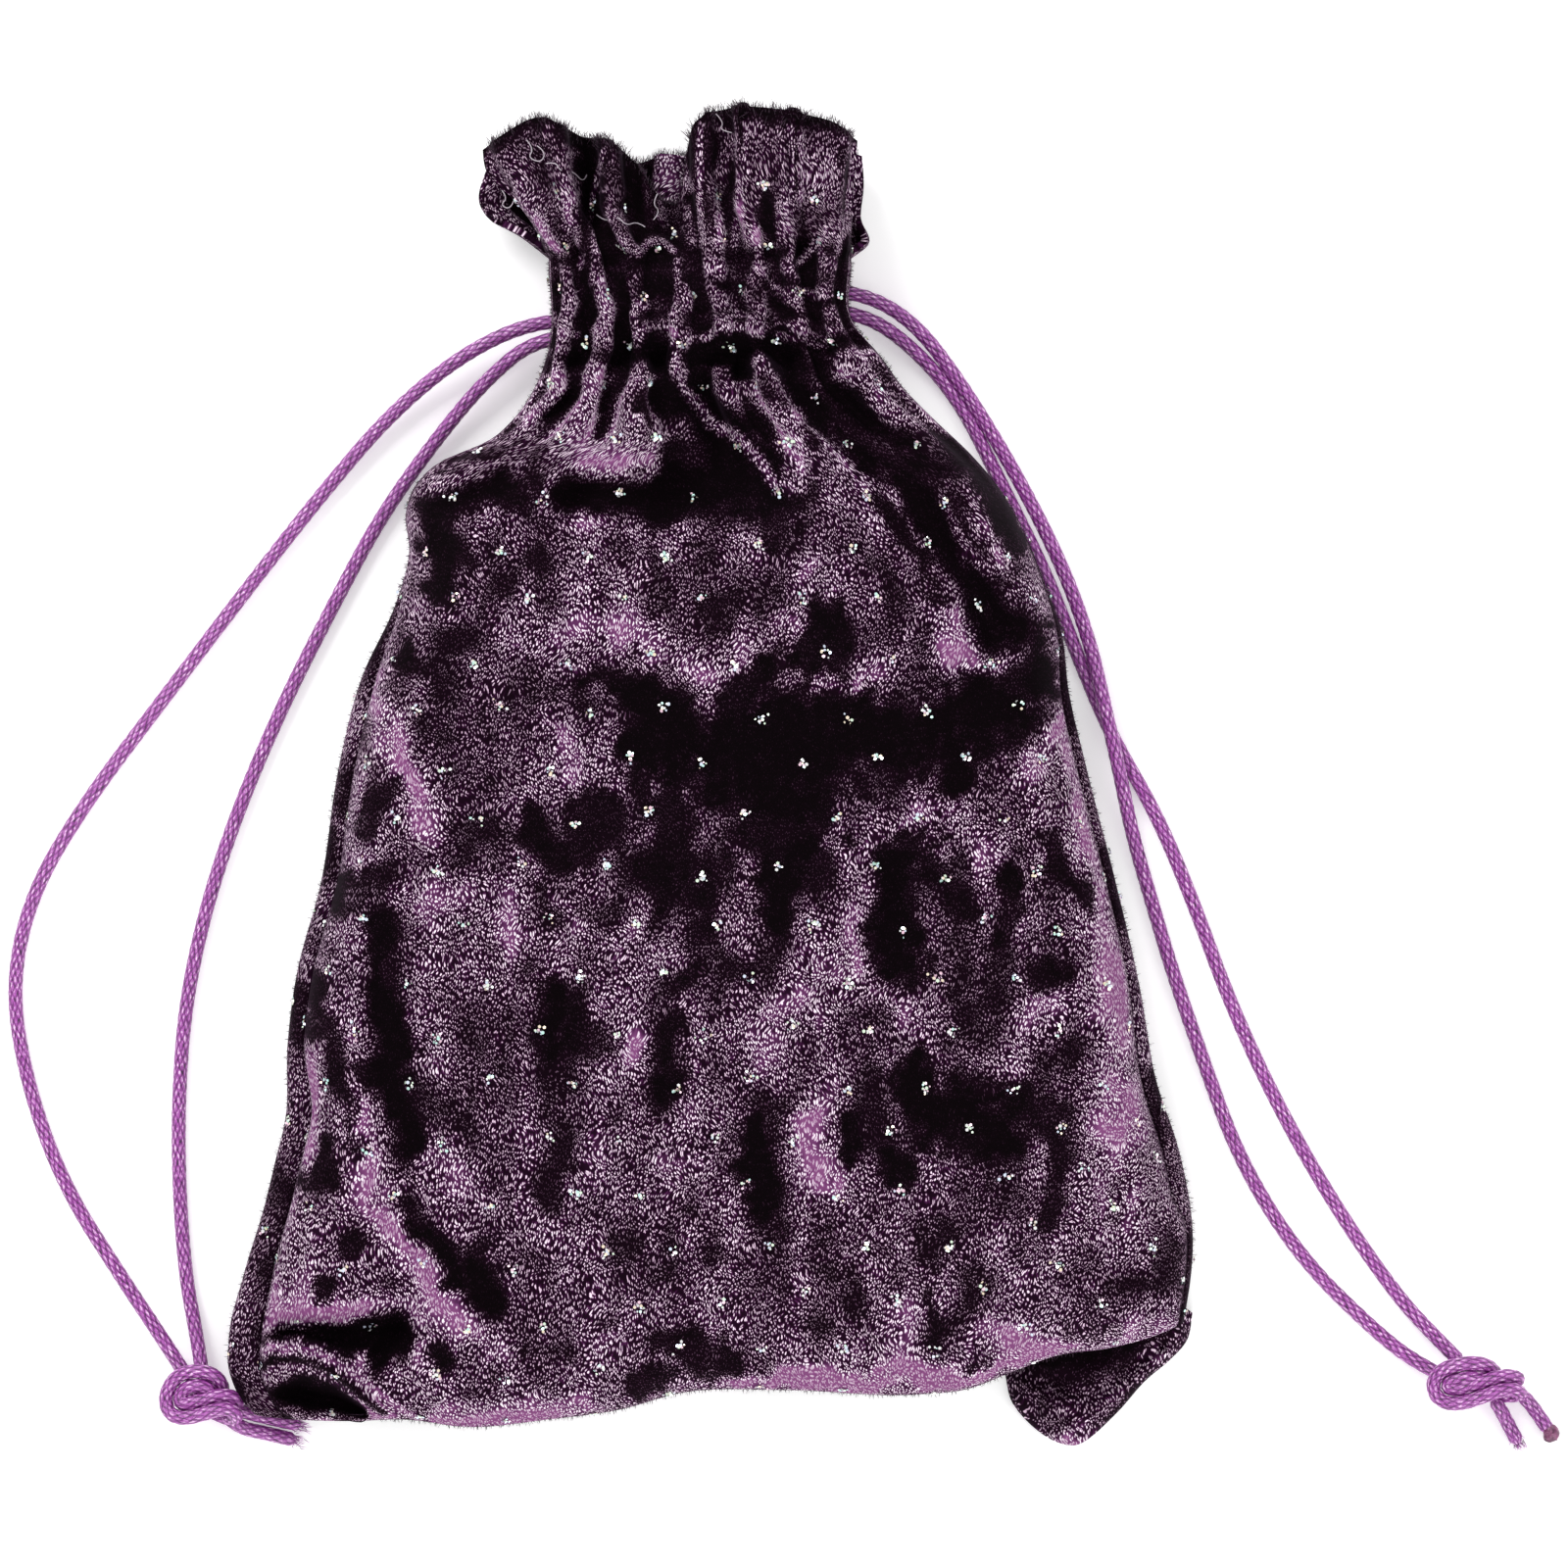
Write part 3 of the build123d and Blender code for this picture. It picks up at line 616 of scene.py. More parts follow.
def make_cords():
    """All strands, tails, knots and frayed ends. Gives each strand with the line it follows."""
    strands = {}
    for side, routes, tails in (
        ("left", {"outer": LEFT_OUTER_ROUTE, "inner": LEFT_INNER_ROUTE},
         {"upper": LEFT_UPPER_TAIL, "lower": LEFT_LOWER_TAIL}),
        ("right", {"upper": RIGHT_UPPER_ROUTE, "lower": RIGHT_LOWER_ROUTE},
         {"inner": RIGHT_INNER_TAIL, "outer": RIGHT_OUTER_TAIL}),
    ):
        body = side + "_drawcord"
        for word, route in routes.items():
            name = f"{side}_{word}_cord"
            line = nurbs_line(name + "_line", route)
            strands[name] = (cord_piece(name, [line], body, f"{side}_{word}_strand"), line)
        for word, route in tails.items():
            name = f"{side}_{word}_tail_cord"
            cord_piece(name, [nurbs_line(name + "_line", route)], body, f"{side}_{word}_tail")
    for side, middle, heading, size in (
        ("left", (-0.0686, -0.0839), (0.95, -0.31), (0.80, 1.26)),
        ("right", (0.1040, -0.0819), (1.0, -0.05), (0.98, 0.92)),
    ):
        knot(f"{side}_tied_knot", middle, heading, size, f"{side}_drawcord", f"{side}_knot")
    frayed_end("left_tail_fray", LEFT_LOWER_TAIL, "left_drawcord", 3)
    frayed_end("left_upper_fray", LEFT_UPPER_TAIL, "left_drawcord", 4)
    frayed_end("right_tail_fray", RIGHT_INNER_TAIL, "right_drawcord", 5)
    return strands


def melted_blob():
    """The melted end of the longest tail, a lumpy drop."""
    rings = 18
    sides = 24
    centre = np.array(RIGHT_OUTER_TAIL[-1]) / MM
    height = np.linspace(0, math.pi, rings)
    angle = np.arange(sides) * TAU / sides
    h, a = np.meshgrid(height, angle, indexing="ij")
    lump = 1 + 0.22 * lumps(3 * np.cos(a) * np.sin(h) + 5, 3 * np.sin(a) + 3 * np.cos(h), 1.0, 8)
    x = centre[0] + 0.1 + 1.05 * np.sin(h) * np.cos(a) * lump
    y = centre[1] - 0.1 + 1.2 * np.sin(h) * np.sin(a) * lump
    z = centre[2] + 0.15 + 1.05 * np.cos(h) * lump
    points = np.stack([x, y, np.maximum(z, 0.06)], -1).reshape(-1, 3)
    piece = mesh_object("right_tail_melted_end", points, grid_faces(rings, sides, around=True), MELTED)
    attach(piece, "right_drawcord")


strands = make_cords()
melted_blob()

# ---- the pouch's outline, millimetres ----

CASING_LOW, CASING_HIGH = (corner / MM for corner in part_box("front_casing"))
TOP_Z = (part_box("front_panel")[1] / MM).z
SEAM_Z = 8.0              # the height at which front and back are sewn together
CLOTH = 0.9               # the velvet's thickness
BOTTOM_Y = -87.0          # the bottom fold before it is bent to BOTTOM_LINE

# Where the back panel reaches furthest out, (y, x) up each side.
LEFT_EDGE = [
    (-88, -60.5), (-85.5, -63.2), (-82, -65.0), (-76, -65.2), (-68, -63.3), (-58, -60.4), (-52, -59.0),
    (-46, -57.6), (-36, -57.3), (-26, -56.0), (-14, -52.8), (2, -50.3), (14, -47.2), (24, -42.6),
    (31, -40.8), (36.5, -41.2), (40.5, -39.4), (43.2, -36.2), (45.6, -30.4), (49, -26.2), (53, -23.4),
    (57.6, -21.6), (70.6, -21.4),
]
RIGHT_EDGE = [
    (-88, 64.0), (-82, 65.0), (-77, 65.4), (-72, 65.3), (-64, 64.6), (-54, 63.2), (-40, 60.2),
    (-28, 58.2), (-14, 55.0), (2, 50.9), (12, 48.6), (20, 47.6), (27, 45.2), (33, 42.8), (38, 40.2),
    (44, 35.2), (49, 29.8), (53, 25.8), (57.6, 22.4), (61, 19.4), (70.6, 18.6),
]
# The bottom fold, (x, y). At the right it rises over the turned out corner.
BOTTOM_LINE = [
    (-66, -85.8), (-62, -86.0), (-56, -86.5), (-49, -86.7), (-41, -86.5), (-33, -87.5), (-22, -86.5),
    (-12, -85.1), (-4, -82.9), (10, -82.5), (28, -83.1), (35, -82.3), (40, -80.4), (47, -77.8),
    (54, -76.8), (60, -75.2), (66, -72.5),
]


def smooth_curve(points, value):
    """A smooth curve through points (t, f), read at value."""
    t = np.array([p[0] for p in points], float)
    f = np.array([p[1] for p in points], float)
    slope = np.gradient(f, t)
    value = np.clip(value, t[0], t[-1])
    k = np.clip(np.searchsorted(t, value) - 1, 0, len(t) - 2)
    run = t[k + 1] - t[k]
    s = (value - t[k]) / run
    return (
        (1 + 2 * s) * (1 - s) ** 2 * f[k] + s * (1 - s) ** 2 * run * slope[k]
        + s * s * (3 - 2 * s) * f[k + 1] + s * s * (s - 1) * run * slope[k + 1]
    )


def front_inset(y, side):
    """How far inside the outer edge the front panel's seam lies."""
    if side < 0:
        return 0.3 + 2.0 * ramp(y, 30, 10) + 1.3 * ramp(y, -34, -46) + 0.9 * ramp(y, -60, -76)
    return 0.3 + 1.1 * ramp(y, 30, 5) + 0.9 * ramp(y, -20, -50) - 1.4 * ramp(y, -64, -72)


# ---- pleats of the neck and ruffle ----

# Each crest of the front's pleats at these y: its x, and its height, 1 for a full pleat.
FRONT_CRESTS_Y = (40, 46, 52, 58, 64, 70.6, 78, 90)
FRONT_CRESTS = [
    ((-31, -26, -21.0, -19.8, -19.4, -20.0, -25.0, -28.4), (0.5, 0.7, 0.8, 0.9, 1.0, 0.8, 0.8, 0.7)),
    ((-22, -17, -15.6, -14.6, -14.2, -15.6, -19.2, -21.2), (0.6, 0.9, 1.0, 1.0, 1.0, 1.0, 1.0, 1.0)),
    ((-13, -10.5, -10.2, -9.4, -9.0, -10.4, -12.6, -13.4), (1.2, 1.5, 1.1, 0.8, 0.6, 0.8, 0.9, 0.9)),
    ((-3.5, -3.6, -4.2, -3.8, -4.0, -5.6, -7.2, -8.0), (0.1, 0.1, 0.2, 1.0, 0.9, 0.5, 0.3, 0.4)),
    ((6, 3.6, 2.4, 1.8, 1.6, 0.8, -0.6, -1.0), (0.6, 0.8, 0.9, 1.0, 0.9, 0.9, 0.8, 0.8)),
    ((14, 9.8, 7.4, 6.8, 6.4, 6.0, 5.0, 4.4), (1.1, 1.3, 1.2, 1.0, 1.0, 1.0, 1.0, 1.0)),
    ((24, 17.5, 14.0, 12.2, 11.0, 10.6, 10.4, 11.0), (0.8, 0.8, 0.9, 1.0, 1.0, 1.0, 1.0, 1.0)),
    ((33, 27, 21.0, 17.2, 16.2, 15.8, 17.0, 18.2), (0.5, 0.7, 0.8, 0.9, 1.0, 0.9, 0.9, 0.8)),
]
# How deep the valley after each crest is in the neck and in the ruffle, 1 for full depth.
FRONT_VALLEYS = [(0.7, 0.05), (0.9, 0.9), (0.8, 0.35), (0.7, 0.8), (0.55, 0.5), (0.45, 0.15), (0.6, 0.25)]
# The ruffle's left and right sides, (y, x), and its top edge, (x, y).
FRONT_RUFFLE = [
    [(70.6, -21.4), (74, -23.0), (79, -26.4), (84, -29.6), (92, -30.8)],
    [(70.6, 18.4), (76, 18.9), (84, 19.6), (92, 20.0)],
    [
        (-31, 84.6), (-28, 86.6), (-23, 89.0), (-20.5, 88.3), (-17, 86.6), (-13, 85.6), (-9.5, 82.4),
        (-7.5, 79.4), (-5.5, 77.8), (-4.0, 79.0), (-3.3, 83.5), (-2.6, 87.0), (-1.2, 89.0), (1.5, 90.1),
        (6, 90.4), (12, 89.6), (17, 88.2), (20, 86.0),
    ],
]

BACK_CRESTS_Y = (40, 52, 60, 70.6, 80, 90)
BACK_CRESTS = [
    ((-34, -21.5, -19.6, -19.4, -26.0, -28.0), (0.7, 1.0, 1.0, 1.0, 0.8, 0.5)),
    ((-24, -16.0, -14.4, -14.6, -17.0, -18.0), (0.5, 0.8, 1.0, 1.0, 1.0, 0.9)),
    ((-11, -9.6, -9.6, -9.4, -9.0, -8.0), (0.8, 1.0, 0.9, 0.8, 0.6, 0.4)),
    ((-1, -2.0, -3.4, -3.4, -3.2, -2.0), (0.5, 0.8, 1.0, 1.0, 1.0, 1.0)),
    ((7, 2.6, 1.8, 2.2, 3.4, 5.0), (0.7, 1.0, 0.8, 0.9, 0.7, 0.6)),
    ((20, 10.6, 8.0, 7.2, 9.4, 12.0), (0.8, 0.9, 1.0, 1.0, 1.0, 1.0)),
    ((29, 17.6, 14.6, 13.8, 15.8, 17.4), (0.6, 1.0, 0.9, 1.0, 0.8, 0.5)),
]
BACK_VALLEYS = [(1.0, 0.5), (0.8, 0.9), (1.0, 0.7), (0.9, 0.4), (1.0, 0.9), (0.9, 0.6)]
BACK_RUFFLE = [
    [(70.6, -21.4), (74, -25.0), (78, -29.6), (81, -31.0), (92, -29.6)],
    [(70.6, 18.6), (73, 20.9), (78, 20.4), (84, 20.8), (92, 20.4)],
    [
        (-31, 83.0), (-26, 85.4), (-18, 86.0), (-10, 83.6), (-6, 84.8), (-2, 84.4), (4, 87.4), (12, 86.8),
        (18, 85.4), (21, 84.4),
    ],
]


SIDE_PLEAT = 0.15         # the pleats' height where they meet the sides


def pleat_line(y, crest_y, crests, valleys, left, right, open_ruffle):
    """The pleated cloth across one row: x, and height from 0 at a valley to 1 on a crest."""
    x = []
    h = []
    wander = float(ramp(y, 44, 54) * ramp(y, 92, 74))
    for k, (crest_x, heights) in enumerate(crests):
        sway = 0.65 * math.sin(0.40 * y + 2.3 * k) + 0.20 * math.sin(1.1 * y + 1.3 * k * k)
        swell = 1 - 0.24 * wander * (0.5 + 0.5 * math.sin(0.55 * y + 4.1 * k))
        x.append(np.interp(y, crest_y, crest_x) + sway * wander)
        h.append(np.interp(y, crest_y, heights) * swell)
    turns = [(left, SIDE_PLEAT)]
    for k, (place, height) in enumerate(zip(x, h)):
        turns.append((place, height))
        if k < len(valleys):
            depth = valleys[k][0] + (valleys[k][1] - valleys[k][0]) * open_ruffle
            low = min(height, h[k + 1])
            turns.append(((place + x[k + 1]) / 2, low * (1 - depth)))
    turns.append((right, SIDE_PLEAT))
    out_x = []
    out_h = []
    steps = np.linspace(0, 1, 40, endpoint=False)
    for (ax, ah), (bx, bh) in zip(turns, turns[1:]):
        steep = 0.95 * min(1.0, abs(bh - ah) * 1.3)
        out_x.append(ax + (bx - ax) * (steps + steep * np.sin(TAU * steps) / TAU))
        out_h.append(ah + (bh - ah) * (1 - np.cos(math.pi * steps)) / 2)
    out_x.append([right])
    out_h.append([SIDE_PLEAT])
    return np.concatenate(out_x), np.concatenate(out_h)


ROLL_ROWS = 16
BODY_ROWS = 150
NECK_ROWS = 34
RUFFLE_ROWS = 30
COLUMNS = 216
BOTTOM_ROLL = 7.5         # how far the cloth rolls in at the bottom fold and at the sides
SIDE_ROLL = 8.0
SIDE_SHARE = 0.18         # the share of a row that each side's roll takes up
SHOULDER_Y = 55.0
RUFFLE_LENGTH = 19.0


def even_section(x, z):
    """The section with its columns at even steps along the cloth, and the cloth's width along it."""
    reach = np.concatenate([[0], np.cumsum(np.hypot(np.diff(x), np.diff(z)))])
    places = np.linspace(0, reach[-1], COLUMNS)
    return np.interp(places, reach, x), np.interp(places, reach, z), reach[-1]


def back_section(left, right, inset_left, inset_right, rise):
    """Across the back, from one seam out to the silhouette, under, and up to the other seam."""
    turn = np.linspace(0, math.pi / 2, 40, endpoint=False)
    out_z = 4.3
    under = 6.0
    floor = out_z - (out_z - 0.05) * rise
    seam = SEAM_Z + 0.2
    x = [left + inset_left - inset_left * np.sin(turn), left + under * (1 - np.cos(turn))]
    z = [out_z + (seam - out_z) * np.cos(turn), out_z - (out_z - floor) * np.sin(turn)]
    x.append(np.linspace(left + under, right - under, 200))
    z.append(np.full(200, floor))
    back = turn[::-1]
    x.append(right - under * (1 - np.cos(back)))
    z.append(out_z - (out_z - floor) * np.sin(back))
    x.append(right - inset_right + inset_right * np.sin(back))
    z.append(out_z + (seam - out_z) * np.cos(back))
    return np.concatenate(x), np.concatenate(z)


def body_height(y):
    """How high the middle of the front lies."""
    return 17.4 + 1.2 * np.sin((y + 20) / 34) - 2.2 * ramp(y, -55, -85) + 1.0 * ramp(y, 30, 50)


def row_levels():
    """Each row's y, how far it has risen out of the bottom roll, and how far up the ruffle it is."""
    roll = np.linspace(0, math.pi / 2, ROLL_ROWS, endpoint=False)
    levels = [(BOTTOM_Y + BOTTOM_ROLL * (1 - math.cos(t)), math.sin(t), 0.0) for t in roll]
    for low, high, count in (
        (BOTTOM_Y + BOTTOM_ROLL, SHOULDER_Y, BODY_ROWS), (SHOULDER_Y, CASING_HIGH.y, NECK_ROWS),
    ):
        levels += [(y, 1.0, 0.0) for y in np.linspace(low, high, count, endpoint=False)]
    levels += [(CASING_HIGH.y + v * RUFFLE_LENGTH, 1.0, v) for v in np.linspace(0, 1, RUFFLE_ROWS)]
    return levels


def front_section(y, left, right, rise):
    """Across the front: a pillow between its two seams."""
    q = np.linspace(0, 1, 500)
    bend = min(SIDE_ROLL, (right - left) / 3)
    lean_in = np.clip(np.minimum(q, 1 - q) / SIDE_SHARE, 0, 1)
    inward = bend * (1 - np.cos(lean_in * math.pi / 2))
    x = np.where(
        q < SIDE_SHARE, left + inward,
        np.where(q > 1 - SIDE_SHARE, right - inward,
                 left + bend + (right - left - 2 * bend) * (q - SIDE_SHARE) / (1 - 2 * SIDE_SHARE)),
    )
    lift = np.sin(lean_in * math.pi / 2) * rise
    return x, SEAM_Z + (body_height(y) + 1.2 * np.sin(math.pi * q) - SEAM_Z) * lift


def pleat_section(y, front, left, right, opened):
    """Across the gathered neck or ruffle, with a wall from each side seam up to the pleats."""
    if front:
        x, height = pleat_line(y, FRONT_CRESTS_Y, FRONT_CRESTS, FRONT_VALLEYS, left, right, opened)
        low = 16.6 - 3.0 * ramp(y, 70.6, 80) - 3.6 * ramp(y, 57, 46)
        z = low + (20.0 - low) * height
        meet = SEAM_Z + 0.35
    else:
        x, height = pleat_line(y, BACK_CRESTS_Y, BACK_CRESTS, BACK_VALLEYS, left, right, opened)
        low = 3.3 + 2.6 * ramp(y, 70.6, 80) + 2.0 * ramp(y, 57, 46)
        z = low + (0.35 - low) * height
        meet = SEAM_Z + 0.1
    meet += (z[0] - meet) * opened
    climb = np.linspace(0, 1, 16, endpoint=False)
    wall_x = -0.5 * np.sin(math.pi * climb) * (1 - opened)
    first = meet + (z[0] - meet) * climb
    last = meet + (z[-1] - meet) * climb
    x = np.concatenate([left + wall_x, x, (right - wall_x)[::-1]])
    return x, np.concatenate([first, z, last[::-1]])


def panel(front):
    """Points of one side of the pouch as rows by columns, with cloth places alongside."""
    ruffle_left, ruffle_right, top = FRONT_RUFFLE if front else BACK_RUFFLE
    levels = row_levels()
    rows = []
    widths = []
    for y, rise, open_ruffle in levels:
        opened = float(ramp(open_ruffle, 0, 0.5))
        insets = [front_inset(y, hand) for hand in (-1, 1)]
        if open_ruffle > 0:
            left = smooth_curve(ruffle_left, y)
            right = smooth_curve(ruffle_right, y)
        else:
            left = smooth_curve(LEFT_EDGE, y) + (insets[0] if front else 0)
            right = smooth_curve(RIGHT_EDGE, y) - (insets[1] if front else 0)
        if front:
            x, z = front_section(y, left, right, rise)
        else:
            under = [0.2 if open_ruffle > 0 else inset + 0.2 for inset in insets]
            x, z = back_section(left, right, *under, rise)
        x, z, width = even_section(x, z)
        # the pleats take over towards the neck
        take = float(ramp(y, 33.0, 57.0))
        if take > 0:
            pleat_x, pleat_z, long = even_section(*pleat_section(y, front, left, right, opened))
            x = x + (pleat_x - x) * take
            z = z + (pleat_z - z) * take
            width = width + (long - width) * take
        rows.append(np.stack([x, np.full(COLUMNS, float(y)), z], -1))
        widths.append(width)
    grid = np.array(rows)
    # the bottom fold isn't straight, and neither is the ruffle's top edge
    low_line = smooth_curve(BOTTOM_LINE, grid[:, :, 0])
    fade = ramp(grid[:, :, 1], -38, BOTTOM_Y) ** 0.7
    grid[:, :, 1] += (low_line - BOTTOM_Y) * fade
    up_ruffle = np.array([level[2] for level in levels])[:, None]
    reach = CASING_HIGH.y + up_ruffle * (smooth_curve(top, grid[:, :, 0]) - CASING_HIGH.y)
    grid[:, :, 1] = np.where(up_ruffle > 0, reach, grid[:, :, 1])
    flat = np.zeros(grid.shape)
    across = np.linspace(0, 1, COLUMNS) - 0.5
    flat[:, :, 0] = across[None] * np.maximum(np.array(widths), 96.0)[:, None]
    step = np.linalg.norm(np.diff(grid[:, COLUMNS // 2 + 12], axis=0), axis=1)
    flat[:, :, 1] = np.concatenate([[0], np.cumsum(step)])[:, None]
    return grid, flat


# ---- folds, crush marks, painted shade and painted highlights ----

# How much wider than its table says each kind of stroke is drawn, for its soft edge.
FOLD_WIDEN = 1.9
DARK_WIDEN = 1.62
BRIGHT_WIDEN = 1.9
RIM_WIDEN = 2.2

# Folds of the front: height in millimetres, then (x, y, half width) along the fold.
FRONT_FOLDS = [
    (3.0, [(-20, 43.5, 5.0), (-12, 46, 6.5), (-6, 47, 4.5)]),
    (-5.0, [(1, 57, 2.6), (0, 50, 4.6), (3, 44, 6.5), (-6, 39.5, 4.0), (-18, 39, 2.6)]),
    (2.6, [(-1, 59, 1.8), (1.5, 53, 1.9), (7, 49, 1.9), (11, 44.5, 2.0), (11.5, 40, 1.8)]),
    (-3.6, [(8, 58, 2.6), (14, 51, 2.8), (22, 43, 2.6), (29, 34, 2.4), (34, 27, 2.2), (38, 20, 3.0)]),
    (2.4, [(5, 57, 1.6), (10, 50.5, 2.4), (17, 45, 3.2), (25, 36, 3.4), (31, 27, 3.0), (33, 18, 3.0)]),
    (-1.4, [(22, 38, 1.4), (27, 31, 1.6), (31, 24, 1.6)]),
    (1.8, [(20, 55, 2.2), (27, 48, 2.6), (33, 40, 2.6), (37, 31, 2.4)]),
    (-1.8, [(-30, 41, 2.6), (-36, 36, 3.0), (-36.5, 27, 3.0)]),
    (1.4, [(-24, 47, 1.5), (-30, 42.5, 1.5), (-38, 39, 1.5)]),
    # the pinched corner at the bottom left
    (-5.0, [(-58, -75.0, 0.9), (-53, -74.8, 1.3), (-47.5, -75.2, 2.2), (-43.5, -75.3, 2.7),
            (-45.0, -77.2, 1.8)]),
    (2.8, [(-62.6, -79.4, 0.9), (-59, -77.2, 1.0), (-55, -77.0, 1.1), (-51, -78.8, 1.1), (-47.4, -82, 1.1),
           (-42, -86, 1.1)]),
    (-6.0, [(-60, -83.2, 1.2), (-55, -83.2, 2.2), (-51, -83.5, 2.1), (-47.4, -84.9, 1.1)]),
    # puffs and lips of the channel
    (1.2, [(-9.8, 70.8, 0.6), (-8.4, 72.4, 0.6), (-6.4, 72.6, 0.6), (-4.8, 71.2, 0.6)]),
    (1.2, [(-9.6, 59.6, 0.6), (-8, 61.1, 0.6), (-6, 61.1, 0.6), (-4.6, 59.8, 0.6)]),
    (1.3, [(-0.6, 59.4, 0.6), (1, 61.0, 0.7), (4.4, 61.1, 0.7), (6.8, 59.8, 0.6)]),
    (-2.2, [(-7.2, 58.0, 1.5), (-7.0, 55.6, 1.2)]),
    (-2.6, [(1.6, 58.0, 1.7), (3.6, 57.4, 1.7), (4.0, 54.6, 1.0)]),
    (-1.5, [(-20.4, 66.4, 1.0)]),
    (1.0, [(-19.4, 61.6, 1.6)]),
    (1.0, [(-14.4, 64.6, 1.5)]),
    (0.9, [(11.6, 61.8, 1.8), (15.4, 60.4, 1.8)]),
    (-1.8, [(8.8, 57.0, 1.4), (14.4, 56.0, 1.6)]),
    (-1.1, [(-2.6, 69.4, 0.4), (0.6, 66.6, 0.5), (3.4, 65.8, 0.5), (5.2, 63.0, 0.5), (7.8, 61.6, 0.4)]),
    (-1.2, [(6.6, 69.6, 0.5), (8.6, 67.2, 0.6), (11.6, 66.6, 0.6), (15.8, 64.4, 0.5), (17.6, 64.2, 0.4)]),
    (-1.0, [(8.4, 64.4, 0.5), (11.4, 62.8, 0.5), (14.0, 62.8, 0.5), (16.8, 61.2, 0.4)]),
    (-1.0, [(-1.6, 63.6, 0.5), (0.8, 62.8, 0.4), (3.0, 63.0, 0.4)]),
    (-1.0, [(10.2, 60.4, 0.5), (13.0, 58.8, 0.6), (16.2, 57.6, 0.5)]),
    (0.9, [(7.6, 65.4, 0.5), (10.4, 64.6, 0.6), (13.0, 64.8, 0.5)]),
    (0.9, [(9.4, 61.6, 0.5), (12.6, 60.8, 0.5), (15.6, 59.4, 0.5)]),
    # flutes of the ruffle and the creases between them
    (1.0, [(-26, 87, 2.2), (-23.4, 77, 2.0), (-21.6, 70, 1.6)]),
    (-3.2, [(-15.6, 86, 1.6), (-15.2, 78, 1.4), (-16.6, 69, 1.0)]),
    (0.9, [(-11.4, 83, 1.8), (-12.4, 76, 1.6), (-13.4, 70, 1.2)]),
    (-4.0, [(-5.6, 82, 1.6), (-5.2, 75, 1.8), (-6, 66, 2.4)]),
    (1.0, [(1.6, 88, 1.8), (1.2, 77, 1.7), (1.0, 70, 1.4)]),
    (-2.6, [(4.9, 89, 0.9), (4.8, 77, 0.9), (4.4, 69, 0.9)]),
    (1.2, [(8, 88, 1.9), (8.8, 78, 1.5), (10.4, 69, 1.0)]),
    (-2.6, [(11.2, 88, 1.0), (11.6, 78, 1.0), (12.6, 69, 1.3)]),
    (0.8, [(16.2, 87, 2.0), (16, 77, 1.8), (15.4, 69, 1.4)]),
    # low swells and dips of the front
    (1.3, [(-43, 8, 3.0), (-39, -4, 3.4), (-37, -14, 4.0)]),
    (-1.2, [(-44, -20, 2.6), (-43, -36, 3.6), (-40, -48, 2.4)]),
    (1.2, [(-47, -46, 3.0), (-44, -58, 3.0), (-36, -70, 3.2), (-30, -77, 3.4)]),
    (-1.3, [(-41, -58, 1.8), (-35, -66, 2.2), (-30, -70, 2.0)]),
    (1.4, [(-22, 21, 5), (-10, 20, 6), (2, 15, 5)]),
    (-1.6, [(-8, 8, 5), (8, 5, 8), (22, 5, 6), (34, 5, 5), (42, 14, 5)]),
    (1.5, [(20, -16, 4), (14, -24, 5), (6, -34, 5)]),
    (-1.4, [(26, -14, 4), (25, -22, 4), (22, -34, 4), (24, -46, 5)]),
    (1.2, [(36, -12, 4), (44, -30, 4), (40, -38, 3)]),
    (-1.2, [(30, -42, 4), (40, -47, 4)]),
    (1.2, [(52, -10, 3), (54, -28, 3), (55, -46, 4)]),
    (-1.0, [(6, -44, 3), (7, -58, 3)]),
    (1.2, [(14, -46, 3), (16, -60, 3.4)]),
    (1.2, [(-4, -48, 4), (-8, -62, 4), (-14, -74, 4)]),
    (-1.2, [(-19, -30, 3), (-20, -44, 3), (-20, -56, 4)]),
    (-1.0, [(-6, -28, 2.6), (-6, -42, 2.6)]),
    (1.0, [(50, -72, 3), (57, -71, 3)]),
    (-1.0, [(36, -68, 2.6), (31, -76, 2.4)]),
]
